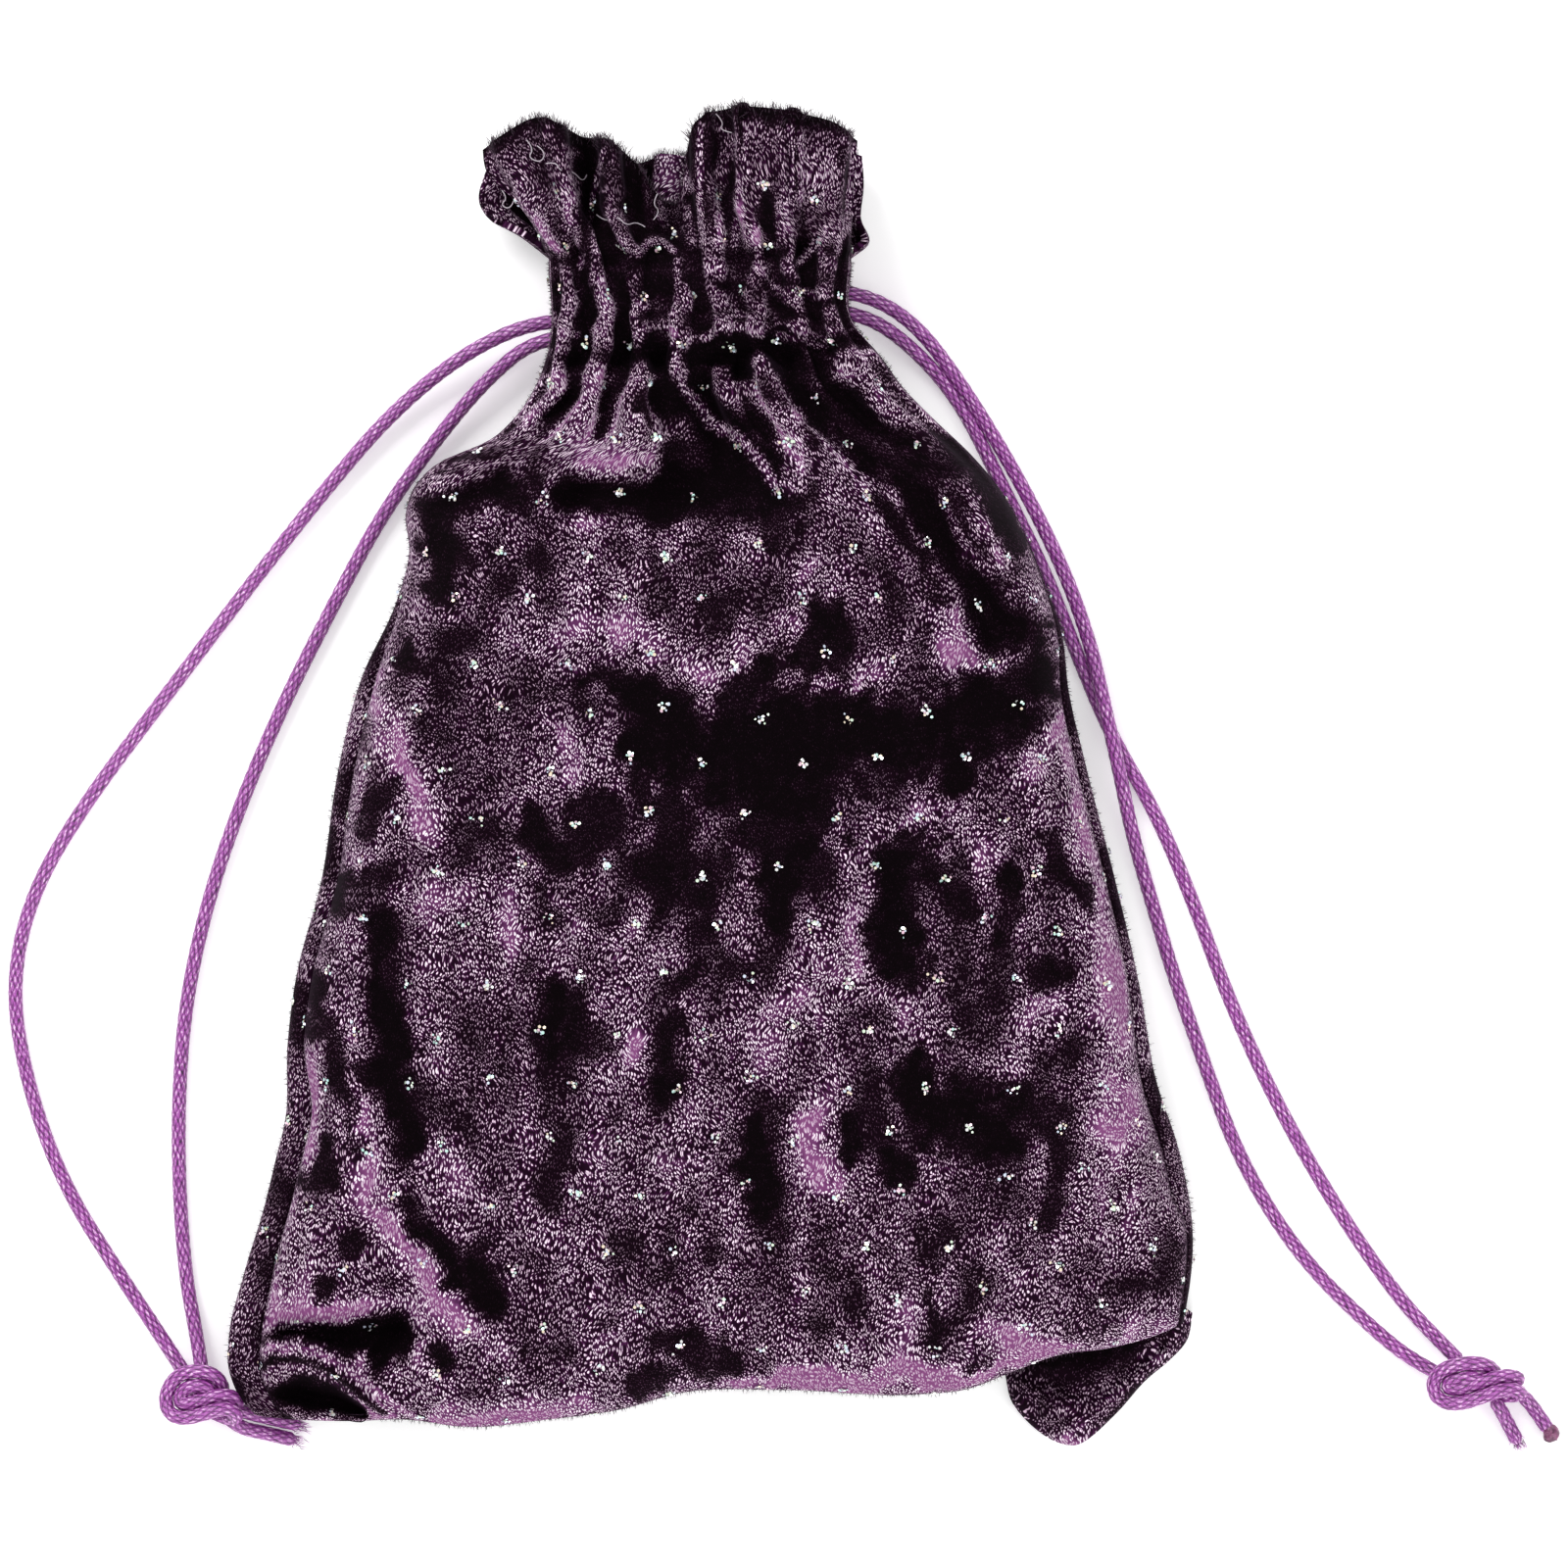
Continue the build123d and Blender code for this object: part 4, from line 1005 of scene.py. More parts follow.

# Marks where the pile is crushed away from the light, and painted shade in fold valleys and under folds:
# strength, then (x, y, half width).
CRUSH_AND_SHADE_MARKS = [
    (0.9, [(-36.5, 38, 3.0), (-35.5, 31, 3.2), (-36, 25, 1.8)]),
    (0.9, [(-28, 39, 2.0), (-24, 40, 3.0)]),
    (1.0, [(-22, 38.6, 1.2), (-10, 37.9, 2.2), (-4, 38.2, 3.0), (2, 38.2, 3.4), (9, 36, 3.0),
           (9.5, 31, 1.4)]),
    (1.0, [(-0.5, 55, 1.8), (0, 49, 3.4), (3, 43, 4.6), (6, 40, 4.0)]),
    (1.0, [(-7.4, 60, 2.0), (-7.6, 54, 1.8), (-6, 49, 1.4)]),
    (1.0, [(0.4, 58.2, 2.6), (3.0, 57.6, 2.4)]),
    (1.0, [(-7.2, 70.8, 2.2), (-7.2, 66.4, 2.4)]),
    (0.9, [(-17, 69.5, 1.0), (-16.8, 58, 0.9)]),
    (0.9, [(-11.6, 68, 0.9), (-11.4, 57, 1.0)]),
    (1.0, [(-20.5, 68.0, 1.8)]),
    (1.0, [(11, 70.6, 1.4), (12, 67, 1.8), (14.5, 65.6, 1.0)]),
    (1.0, [(9, 56, 3.0), (14, 52, 3.2), (20, 46, 2.8), (26, 42, 2.8), (30, 38, 2.8), (33, 33, 2.2),
           (36, 28, 1.8),
           (39, 24, 2.2)]),
    (0.9, [(28, 46, 1.8), (35, 42, 2.4), (39, 36, 1.8), (42, 30, 1.2)]),
    (0.8, [(23.5, 36, 0.9), (28, 30, 1.0), (31, 25, 1.0)]),
    (1.0, [(-15.5, 13.6, 1.2), (-10, 13, 2.4), (-6, 9, 4.0), (-3, 5, 4.4), (-8, 4, 3.4)]),
    (0.85, [(-8, -4, 3.0), (-5, -6, 3.0), (-7, -13, 2.5), (-3, -14, 2.5), (-6, -18, 1.2)]),
    (0.8, [(-39.6, 15.4, 1.4), (-40, 18, 0.8)]),
    (0.8, [(-44, -2.6, 2.2), (-46.4, -6.4, 1.6)]),
    (0.9, [(-46, -13.5, 2.8), (-49, -15, 2.6), (-46, -18, 2.4), (-45, -23, 1.4)]),
    (0.9, [(-24, -4.6, 1.4), (-23.4, -8, 1.8), (-20, -10.4, 2.2)]),
    (0.75, [(-20, -10.4, 2.0), (-16.5, -8.4, 3.4), (-14, -5, 3.0), (-17, -3, 2.4)]),
    (0.6, [(-21.5, -15, 1.2), (-20.5, -20, 1.0)]),
    (1.0, [(8, 15, 1.8), (5, 13, 2.0), (3, 10, 3.0), (2, 5, 4.6), (8, 5.6, 6.4), (14, 5, 6.0), (20, 7, 4.2),
           (26, 5.4, 4.2), (32, 4, 3.0), (33.6, -1, 1.4)]),
    (1.0, [(7, 0, 6.0), (12, -2, 6.4), (10, -7, 4.8), (9.6, -12, 3.4), (8.6, -18, 1.8)]),
    (0.6, [(13, -13, 3.6), (15, -15, 2.6)]),
    (1.0, [(16.2, 21.4, 2.2), (15.6, 17.8, 2.9), (13.2, 16.4, 1.6)]),
    (1.0, [(38, 24, 1.8), (41.4, 21, 3.4), (42, 15, 4.0), (40.6, 9.6, 3.6), (36, 10.4, 2.8), (30, 8, 3.0)]),
    (0.9, [(37, 6, 2.4), (41, 6.4, 2.0)]),
    (1.0, [(28.4, -8.6, 3.0), (25, -12, 2.6), (23.4, -17, 2.6), (25, -22, 2.6), (28.4, -25.6, 2.2)]),
    (0.8, [(29, -9, 2.6), (32.4, -13, 2.4), (34.6, -17, 1.6)]),
    (1.0, [(40.5, -12.4, 1.2), (40.2, -17, 1.8), (40, -21.4, 1.2)]),
    (0.9, [(45.2, -7.6, 1.4), (46.6, -12, 1.8), (49.2, -16, 1.1), (50.4, -18.4, 0.8)]),
    (0.9, [(46.4, -25.2, 2.0)]),
    (0.45, [(42, -22.6, 1.8), (38, -25.6, 1.4)]),
    (0.3, [(35, -34.4, 2.4), (38.4, -32.4, 2.6), (39, -27, 2.0)]),
    (1.0, [(-20.6, -27.4, 1.4), (-21, -33, 1.9), (-20, -36.4, 1.4)]),
    (0.7, [(-17.6, -30, 1.8), (-16.4, -36, 1.8)]),
    (0.9, [(-2.4, -26.4, 1.9)]),
    (0.85, [(-4.4, -33, 1.6), (-5.4, -38, 2.0), (-7, -42.4, 1.0)]),
    (1.0, [(-45, -26, 1.4), (-44, -32, 1.8), (-43.5, -37, 3.0), (-42, -42, 2.6), (-40, -48, 1.2)]),
    (0.85, [(-53, -27, 1.1), (-51.6, -34, 1.4), (-50, -40, 1.2), (-48.6, -45, 1.7), (-48, -48.6, 1.0)]),
    (0.9, [(-52, -49.6, 1.0), (-53.4, -54, 1.9)]),
    (1.0, [(-39.6, -58.6, 0.9), (-37.4, -62.5, 1.4), (-34, -67.4, 1.2)]),
    (1.0, [(-31.4, -64.6, 1.6), (-29.6, -67, 1.9), (-28.6, -71.6, 1.0)]),
    (0.8, [(-49, -60.6, 1.0), (-47.6, -63, 1.2)]),
    (0.95, [(-51.4, -68, 2.0)]),
    (1.3, [(-57, -75.0, 0.5), (-52, -74.9, 1.0), (-47.5, -75.2, 2.0), (-43.8, -75.5, 2.7),
           (-45.0, -77.2, 1.8)]),
    (1.0, [(-36, -76.4, 2.0)]),
    (1.3, [(-59.8, -83.4, 1.5), (-55.6, -83.2, 2.5), (-51.6, -83.4, 2.4), (-48.0, -84.9, 1.2)]),
    (0.9, [(-6.4, -76, 1.6), (-1, -77, 2.6), (3, -78.4, 1.5)]),
    (0.8, [(-9.6, -82, 1.3), (-6.4, -80.6, 1.2)]),
    (0.5, [(-19, -47, 1.8), (-21, -53, 2.2), (-21, -57, 1.6)]),
    (0.6, [(-24.6, -77.4, 1.1)]),
    (0.6, [(-13, -72.4, 1.2)]),
    (1.0, [(5.8, -45.6, 1.2), (6.4, -51, 2.1), (6.8, -56, 1.7), (7.4, -60.6, 1.0)]),
    (1.0, [(27.6, -38, 1.8), (29, -43, 3.2), (33, -46, 4.2), (38, -47, 3.6), (39.6, -50, 1.8)]),
    (0.85, [(40, -45, 2.0), (42, -42, 1.4)]),
    (0.95, [(19.6, -46.6, 1.4), (19, -50.4, 1.1)]),
    (0.40, [(22, -41, 3.0), (22, -47, 2.6)]),
    (1.0, [(25, -52.4, 2.1)]),
    (0.75, [(45.4, -45, 2.2), (46.6, -52, 1.7), (46, -59.4, 1.0)]),
    (0.6, [(49.6, -36.4, 1.6)]),
    (0.8, [(29.6, -70.4, 1.0), (30, -75, 0.9)]),
    (0.65, [(50, -71.6, 3.2), (56, -70.6, 2.8), (61.6, -68.4, 1.6)]),
    (0.8, [(36.2, -78.6, 1.1)]),
    (0.4, [(56, -54, 1.2), (55, -58, 1.0)]),
    (0.55, [(62, -63, 1.4), (62.6, -67, 1.6)]),
    (0.5, [(-30, -7, 2.0), (-28, -12, 1.8)]),
    (0.45, [(2.4, 24, 1.8), (1.6, 21, 1.4)]),
    (0.45, [(-8, 25, 1.6), (-6, 22.6, 1.2)]),
    (0.45, [(-9, -66, 3.0), (-12, -62, 2.0)]),
    (0.5, [(15, -58, 2.0), (18, -66, 2.4), (20, -72, 1.6)]),
    (0.45, [(30, -62, 2.0), (29, -67, 1.6)]),
    (0.5, [(-23, 30, 1.0), (-22, 24, 1.0)]),
    (0.95, [(-19, 86.4, 1.4), (-15, 85.2, 2.0), (-13, 81, 2.6), (-9, 79.6, 1.6)]),
    (0.9, [(-15.4, 77, 1.2), (-13.6, 72.6, 1.2)]),
    (0.7, [(-17.2, 83, 1.3), (-16.8, 76, 0.9), (-17.2, 70.5, 0.7)]),
    (0.9, [(-10.0, 77.5, 1.6), (-9.0, 73.4, 1.4)]),
    (1.3, [(-4.2, 55, 1.2), (-3.0, 50, 3.0), (-2.0, 44, 4.2), (-0.6, 40, 5.0)]),
    (0.5, [(-13, 88, 1.4), (-20, 88.6, 1.2)]),
    (0.8, [(-1.6, 88, 1.5), (-1.2, 80, 1.3), (-0.8, 73, 1.0)]),
    (0.75, [(3.4, 88, 0.8), (3.4, 80, 0.8), (2.8, 73, 0.9)]),
    (0.8, [(8.4, 79.4, 0.5), (8.8, 76.6, 1.0), (9.8, 73.4, 1.2), (11.4, 70.8, 1.0)]),
    (0.5, [(11.2, 88, 0.7), (11.2, 80, 0.7), (11.2, 71, 0.9)]),
    (0.6, [(18.6, 84, 0.9), (17.6, 76, 0.9), (17.0, 71, 0.9)]),
    (0.8, [(-27.5, 47.4, 1.6), (-24, 44.4, 1.8)]),
    (0.82, [(-60, -79.2, 2.4), (-53.6, -79.2, 3.0), (-47, -82.4, 1.8)]),
    (0.8, [(6.0, 66.8, 1.1), (9.0, 63.6, 1.3), (11.4, 60.6, 1.0)]),
    (0.7, [(13.6, 63.4, 1.0), (15.4, 61.6, 1.0)]),
    (0.6, [(-2.6, 66.8, 1.0), (-1.6, 62.6, 0.9)]),
    (0.7, [(-14.2, 68.6, 1.2), (-13.0, 70.2, 1.0)]),
    (0.6, [(-19.0, 58.2, 1.0), (-15.4, 57.2, 1.0), (-12.4, 57.4, 0.8)]),
    (0.7, [(1.0, 66.8, 1.0), (3.8, 65.6, 1.1), (5.4, 63.0, 0.9)]),
    (0.7, [(13.4, 58.2, 1.2), (16.6, 57.4, 1.2)]),
    (0.8, [(8.6, 70.4, 1.2), (10.6, 68.4, 1.0), (12.6, 69.4, 1.0), (15.2, 67.8, 0.9)]),
    (0.6, [(17.2, 64.6, 0.8), (17.4, 60.4, 0.8)]),
    (0.85, [(-1.6, 89.4, 2.0), (-1.4, 82, 1.6), (-0.6, 74, 1.2)]),
    (0.7, [(3.0, 89.4, 1.1), (11, 88.8, 1.0), (18, 86.6, 1.2)]),
    (0.9, [(8.2, 76.6, 1.0), (9.6, 72.6, 1.2)]),
    (0.7, [(-29.4, 85, 0.8), (-24, 87.4, 0.9)]),
]

# Marks where it lies towards the light, and painted sheen along the edges and painted light on fold ridges.
LEAN_AND_SHEEN_MARKS = [
    (0.5, [(-61, -79.8, 0.6), (-57, -78.6, 0.6), (-51.5, -79.4, 0.6), (-47, -81.8, 0.6), (-42, -85.0, 0.6)]),
    (0.6, [(-58, -74.2, 0.6), (-50, -72.8, 0.6), (-42, -71.2, 0.6)]),
    (0.9, [(-18.4, 47.0, 2.6), (-14, 45, 3.4), (-11, 44.6, 2.4)]),
    (0.4, [(-26.4, 84, 3.0), (-24.6, 78, 2.6), (-22.8, 71, 1.4)]),
    (0.3, [(2.0, 86.6, 1.8), (2.2, 78, 1.6), (1.6, 72.6, 1.1)]),
    (0.3, [(7.2, 86.6, 2.0), (7.8, 78, 1.8), (9.0, 71, 1.0)]),
    (0.3, [(15.2, 86, 2.8), (14.6, 78, 2.6), (13.6, 72.6, 1.6)]),
    (1.4, [(-37, -86.6, 0.9), (-28, -86.2, 1.4), (-20, -85.2, 1.0)]),
    (1.4, [(8, -81.4, 1.0), (18, -80.8, 1.5), (28, -81.0, 2.0), (35, -80.2, 1.7), (42, -78.0, 0.9)]),
    (1.3, [(36, -73, 1.8), (43, -75.2, 1.7), (50, -75.4, 0.9)]),
    (0.9, [(-19, 19.6, 1.6), (-12, 21, 3.0), (-6, 18.5, 2.4), (0, 15, 2.8), (5, 18.6, 2.0), (10, 20, 1.5)]),
    (0.9, [(-45.6, 14, 1.4), (-43.6, 7, 1.7), (-41, 0, 1.2), (-38.4, -5, 1.3), (-37, -9, 1.1)]),
    (0.7, [(-38, -17, 3.4), (-30, -17, 3.0), (-26, -21, 2.6)]),
    (0.8, [(-22.4, 10, 1.0), (-20, 5, 1.7), (-18.4, 1, 1.0)]),
    (0.7, [(10, 13.6, 1.4), (14, 12.4, 1.6), (20, 13.6, 2.6), (26, 17, 1.4)]),
    (0.7, [(27, 20.4, 1.0), (34, 14.6, 1.6)]),
    (0.8, [(-24, -11.6, 1.1), (-19, -18.6, 1.3), (-13, -21.4, 2.4), (-9, -17.6, 1.3)]),
    (0.65, [(49, 4, 1.6), (51, -8, 1.6), (53.4, -22, 1.6), (55.6, -34, 2.2), (55, -47, 2.6)]),
    (0.8, [(47, 8, 1.6), (45, 2, 1.4), (43, 1, 1.0)]),
    (0.8, [(44, -31.6, 2.8), (48, -28.6, 1.8)]),
    (0.8, [(12.6, -24.6, 2.4), (9, -31, 1.8)]),
    (0.7, [(2, -18.6, 1.4), (4, -24, 1.4)]),
    (0.8, [(19, -17, 1.4), (22, -27, 1.3), (26, -31, 1.4)]),
    (0.8, [(12.6, -46, 1.2), (13.6, -50, 1.6), (16.4, -55, 1.6)]),
    (0.8, [(-7, -51.6, 2.4), (-2, -53, 2.6)]),
    (0.8, [(-13, -38.6, 1.8), (-10.4, -35, 1.3)]),
    (0.7, [(-38, -47, 1.2), (-34, -53, 2.4), (-30, -57, 1.6)]),
    (0.7, [(-46, -50, 1.6), (-47, -56, 1.4), (-40, -63, 1.2), (-33, -72, 1.6), (-27, -78, 1.4)]),
    (0.8, [(-57, -34, 0.9), (-54.6, -42, 1.1), (-57, -54, 0.9), (-58.6, -60, 0.8)]),
    (0.9, [(-37, -84.6, 1.0), (-30, -84.8, 1.3), (-18, -83.6, 1.4)]),
    (1.2, [(4, -81.2, 0.9), (12, -80.8, 1.5), (24, -80.6, 1.8), (34, -80.4, 1.4)]),
    (0.9, [(38, -73.6, 1.8), (43, -77.4, 1.4), (48, -76.6, 0.8)]),
    (0.8, [(28, 1, 1.0), (28.6, -4, 1.6), (26, -6, 1.0)]),
    (0.7, [(34, -5, 1.8), (36, -10, 1.6)]),
    (0.6, [(-21, -62, 2.0), (-24, -58, 1.6)]),
    (0.6, [(-53, -72.4, 1.2), (-46, -70.6, 1.2)]),
    (0.7, [(14, 32, 1.6), (12.6, 28, 1.6)]),
    (0.6, [(5, 29, 2.4), (4, 33, 1.4)]),
    (0.8, [(-20, 46, 1.4), (-14, 47.6, 2.4), (-9, 49, 1.6)]),
    (0.7, [(-12, 42.4, 1.6), (-8, 44, 1.4)]),
    (0.8, [(1.6, 56, 0.6), (8, 50.6, 0.7), (12, 45.6, 0.9), (12, 41, 0.8)]),
    (0.8, [(7, 52, 0.8), (14, 48.4, 1.4), (20, 43, 1.4), (24, 38, 1.6)]),
    (0.8, [(-19.6, 64, 1.0), (-19.8, 56, 1.2)]),
    (0.8, [(-14.2, 66, 1.2), (-14.4, 54, 1.2)]),
    (0.8, [(-26, 82, 2.2), (-22.6, 76, 2.0), (-21, 71, 1.4)]),
    (0.8, [(-19, 80, 1.4), (-18.6, 74, 1.2)]),
    (0.8, [(4.4, 85, 1.6), (5.0, 76, 1.6), (4.6, 70, 1.2)]),
    (0.7, [(14, 84, 2.6), (13.6, 76, 1.8), (11.6, 69.4, 1.0)]),
]

# Thin rims of folds and edges that catch the light, over everything else.
RIM_MARKS = [
    (0.75, [(-4.8, 57, 0.4), (-3.5, 53, 0.4), (0, 48.6, 0.45), (4.7, 45.4, 0.5), (7.4, 42.4, 0.5),
            (8.9, 39.2, 0.5)]),
    (0.90, [(-62.6, -78.6, 0.45), (-60.6, -76.9, 0.45), (-57, -76.2, 0.45), (-54, -76.6, 0.45),
            (-51.4, -77.7, 0.45),
            (-48.8, -79.4, 0.45), (-45, -82, 0.45), (-41.3, -85, 0.45), (-39.6, -86.4, 0.4)]),
    (0.70, [(-61.4, -81.0, 0.4), (-58.8, -79.4, 0.4), (-54.8, -79.2, 0.4), (-50.6, -80.8, 0.4),
            (-47, -83.6, 0.4),
            (-44.6, -85.8, 0.4)]),
    (0.65, [(-60, -74.2, 0.4), (-54, -73.2, 0.4), (-48, -72.0, 0.4), (-42, -70.8, 0.35)]),
    (0.80, [(42.4, -79.5, 0.4), (47.7, -77.5, 0.4), (51.4, -76.9, 0.4), (56.1, -76.5, 0.4),
            (59.1, -75.4, 0.4),
            (63.5, -73.3, 0.4)]),
    (0.55, [(59, -69.8, 0.5), (62, -71.4, 0.5), (64, -73.6, 0.5)]),
    (0.55, [(-55.0, -36, 0.5), (-54.4, -46, 0.5), (-56.6, -54, 0.5), (-58.2, -61, 0.5), (-59.2, -70, 0.5)]),
    (0.60, [(-21, 44, 0.5), (-18, 41.8, 0.5), (-13.6, 40.6, 0.5), (-9, 40.4, 0.5), (-7, 42, 0.4)]),
    (0.50, [(-22.6, 47.4, 0.4), (-28.6, 42.2, 0.4), (-36, 42.6, 0.4)]),
    (0.62, [(-9.8, 70.8, 0.35), (-8.4, 72.2, 0.35), (-6.4, 72.4, 0.35), (-4.8, 71.2, 0.35)]),
    (0.62, [(-9.6, 59.6, 0.3), (-8, 60.9, 0.3), (-6, 60.9, 0.3), (-4.6, 59.8, 0.3)]),
    (0.66, [(-0.6, 59.4, 0.35), (1, 60.8, 0.35), (4.4, 60.9, 0.35), (6.8, 59.8, 0.35)]),
    (0.55, [(-14.2, 84.6, 0.3), (-16.2, 76, 0.3), (-17.4, 69, 0.3)]),
    (0.60, [(12.2, 69.4, 0.35), (13.8, 71.6, 0.35), (15.6, 74.6, 0.35)]),
    (0.50, [(8.2, 66.4, 0.35), (10.2, 65.2, 0.35), (12.8, 65.6, 0.35), (15.6, 64.6, 0.35)]),
    (0.50, [(1.6, 64.4, 0.3), (3.6, 62.6, 0.3), (6.0, 62.4, 0.3), (7.6, 61.2, 0.3)]),
    (0.45, [(9.4, 59.8, 0.35), (12.6, 59.2, 0.35), (15.4, 58.4, 0.3)]),
    (0.45, [(-19.6, 66.0, 0.3), (-17.6, 65.2, 0.3)]),
    (0.62, [(-1.2, 88, 0.35), (-1.4, 80, 0.35), (-0.8, 72, 0.35)]),
    (0.55, [(4.8, 88.4, 0.35), (4.8, 80, 0.35), (3.4, 72, 0.35)]),
    (0.62, [(10.8, 88, 0.3), (11.2, 78, 0.3), (11.0, 68.4, 0.3)]),
    (0.62, [(19.4, 86, 0.35), (18.5, 76, 0.35), (17.3, 71, 0.35)]),
    (0.45, [(-29.8, 84, 0.4), (-26, 76, 0.4), (-22.4, 68, 0.4)]),
    (0.50, [(-21.2, 62.6, 0.35), (-19.8, 60.2, 0.35), (-18.0, 59.8, 0.3)]),
    (0.50, [(-4.4, 70, 0.3), (-4.2, 64, 0.3), (-4.6, 58, 0.3)]),
]

# Thin lines of painted shade in the bottom of creases, drawn after the rims.
CREASE_SHADE_MARKS = [
    (0.85, [(-61.8, -80.0, 0.35), (-58.8, -78.1, 0.4), (-55.0, -77.9, 0.4), (-51.2, -79.3, 0.4),
            (-47.6, -82.2, 0.4), (-44.0, -85.2, 0.35)]),
    (0.75, [(-63.4, -79.4, 0.3), (-61.6, -76.6, 0.3), (-59.0, -75.0, 0.35)]),
    (0.70, [(-16.3, 84, 0.35), (-16.4, 77, 0.35), (-17.0, 71, 0.35)]),
]


def box_blur(values, rows, columns):
    """A running mean over a window of rows and columns."""
    for axis, half in ((0, rows), (1, columns)):
        padded = np.concatenate([np.repeat(np.take(values, [0], axis), half, axis), values,
                                 np.repeat(np.take(values, [-1], axis), half, axis)], axis)
        total = np.cumsum(padded, axis)
        zero = np.zeros_like(np.take(total, [0], axis))
        total = np.concatenate([zero, total], axis)
        count = values.shape[axis]
        window = 2 * half + 1
        values = (np.take(total, range(window, window + count), axis)
                  - np.take(total, range(0, count), axis)) / window
    return values


def painted_light_and_shade_on_folds(grid, pile):
    """Paints sheen into the pile on ridges and slopes, and painted shade, nearly black, in the bottom of a
    fold.
    """
    height = grid[:, :, 2]
    near = height - box_blur(height, 2, 3)
    wide = height - box_blur(height, 5, 8)
    slope = 1 - np.abs(surface_normals(grid)[:, :, 2])
    pile = pile + 0.55 * np.clip(near, 0, 0.5) + 0.16 * np.clip(wide, 0, 1.2)
    pile = pile + 0.20 * ramp(slope, 0.18, 0.6) * ramp(pile, 0.05, 0.3)
    fold_shade = np.clip(1.5 * np.clip(-near, 0, 0.6) + 0.42 * np.clip(-wide, 0, 2.0), 0, 0.95)
    return pile * (1 - fold_shade * (1 - 0.55 * ramp(grid[:, :, 1], 52, 60)))


def rims(x, y, pile):
    """Paints the thin highlights on rims and the thin lines of painted shade in the creases between them."""
    wx = x + 0.25 * lumps(x, y, 3.0, 51)
    wy = y + 0.25 * lumps(x, y, 3.0, 52)
    for strength, points in RIM_MARKS:
        depth = stroke_distance(wx, wy, points, RIM_WIDEN)
        pile = np.maximum(pile, strength * ramp(depth, 0.0, 0.65))
    for strength, points in CREASE_SHADE_MARKS:
        depth = stroke_distance(wx, wy, points, RIM_WIDEN)
        pile = pile * (1 - strength * ramp(depth, 0.0, 0.65))
    return pile


def fold_height(x, y):
    """How far the front's listed folds lift or dent it."""
    wx = x + 0.8 * lumps(x, y, 7, 31)
    wy = y + 0.8 * lumps(x, y, 7, 32)
    height = np.zeros(np.shape(x))
    for lift, points in FRONT_FOLDS:
        depth = stroke_distance(wx, wy, points, FOLD_WIDEN)
        height += lift * ramp(depth, 0.0, 1.0)
    return height


def pile_crush_and_painted_light(x, y, dark):
    """How bright the crushed pile looks at each place, from 0, black, to 1, less dark, with painted shade in
    fold valleys and painted sheen on edges and fold ridges.
    """
    wx = x + 1.2 * lumps(x, y, 5.0, 41) + 0.8 * lumps(x, y, 2.0, 42)
    wy = y + 1.2 * lumps(x, y, 5.0, 43) + 0.8 * lumps(x, y, 2.0, 44)
    ragged = 0.34 * lumps(x, y, 2.6, 48) + 0.26 * lumps(x, y, 1.1, 49)
    tone = (
        0.435 + 0.19 * lumps(x, y, 9.0, 45) + 0.14 * lumps(x * 1.8, y * 0.7, 4.4, 46)
        + 0.08 * lumps(x * 1.5, y * 0.7, 2.0, 47)
    )
    tone -= 0.04 * ramp(x, -15, -35) * ramp(y, -50, -30) + 0.03 * ramp(y, 5, 20)
    tone += 0.04 * ramp(y, -40, -55)
    # painted sheen on edges and fold ridges, together with pile that leans to the light
    bright = np.zeros(np.shape(x))
    for strength, points in LEAN_AND_SHEEN_MARKS:
        depth = stroke_distance(wx, wy, points, BRIGHT_WIDEN) + ragged * 0.6
        bright = np.maximum(bright, strength * ramp(depth, 0.0, 0.9))
    tone += 0.38 * bright
    # painted shade in fold valleys and under folds, together with crushed pile
    black = np.zeros(np.shape(x))
    for strength, points in CRUSH_AND_SHADE_MARKS:
        depth = stroke_distance(wx, wy, points, DARK_WIDEN)
        black = np.maximum(black, strength * ramp(depth + ragged, 0.0, 0.62))
    return np.clip(tone * (1 - black) - dark, 0, 1)


def surface_normals(grid):
    """The direction that each point of a grid faces."""
    down = np.gradient(grid, axis=0)
    across = np.gradient(grid, axis=1)
    normal = np.cross(across, down)
    return normal / (np.linalg.norm(normal, axis=2)[:, :, None] + 1e-9)


RUFFLE_INSIDE_Y = 0.0716  # metres; above this the inner side is pile too


def solidify(piece):
    """Gives cloth its thickness on the inner side, with the backing there."""
    piece.data.materials.append(BACKING)
    modifier = piece.modifiers.new("thickness", "SOLIDIFY")
    modifier.thickness = CLOTH * MM
    modifier.offset = -1.0
    modifier.material_offset = 1
    modifier.material_offset_rim = 1
    apply_modifiers(piece)
    for vertex in piece.data.vertices:
        vertex.co.z = max(vertex.co.z, TABLE_GAP * MM)
    # the ruffle is turned in at its top, so its inner side is pile too
    for face in piece.data.polygons:
        if face.material_index == 1 and face.center.y > RUFFLE_INSIDE_Y:
            face.material_index = 0


def apply_modifiers(piece):
    """Turns a piece's modifiers into plain mesh."""
    graph = bpy.context.evaluated_depsgraph_get()
    final = bpy.data.meshes.new_from_object(piece.evaluated_get(graph))
    piece.modifiers.clear()
    old = piece.data
    piece.data = final
    bpy.data.meshes.remove(old)


def channel_puffs(x, y):
    """The two stitched rows draw the pleats in, and the cloth puffs out between them."""
    tilt = 0.075 * (x + 1.5)
    low_row = np.exp(-((y - 57.6 - tilt) / 1.5) ** 2)
    high_row = np.exp(-((y - 70.4 - tilt * 0.6) / 1.6) ** 2)
    between = np.exp(-((y - 64.2 - tilt) / 4.0) ** 2)
    return -1.6 * low_row - 1.6 * high_row + 0.4 * between + 0.5 * lumps(x, y, 3.6, 71) * between


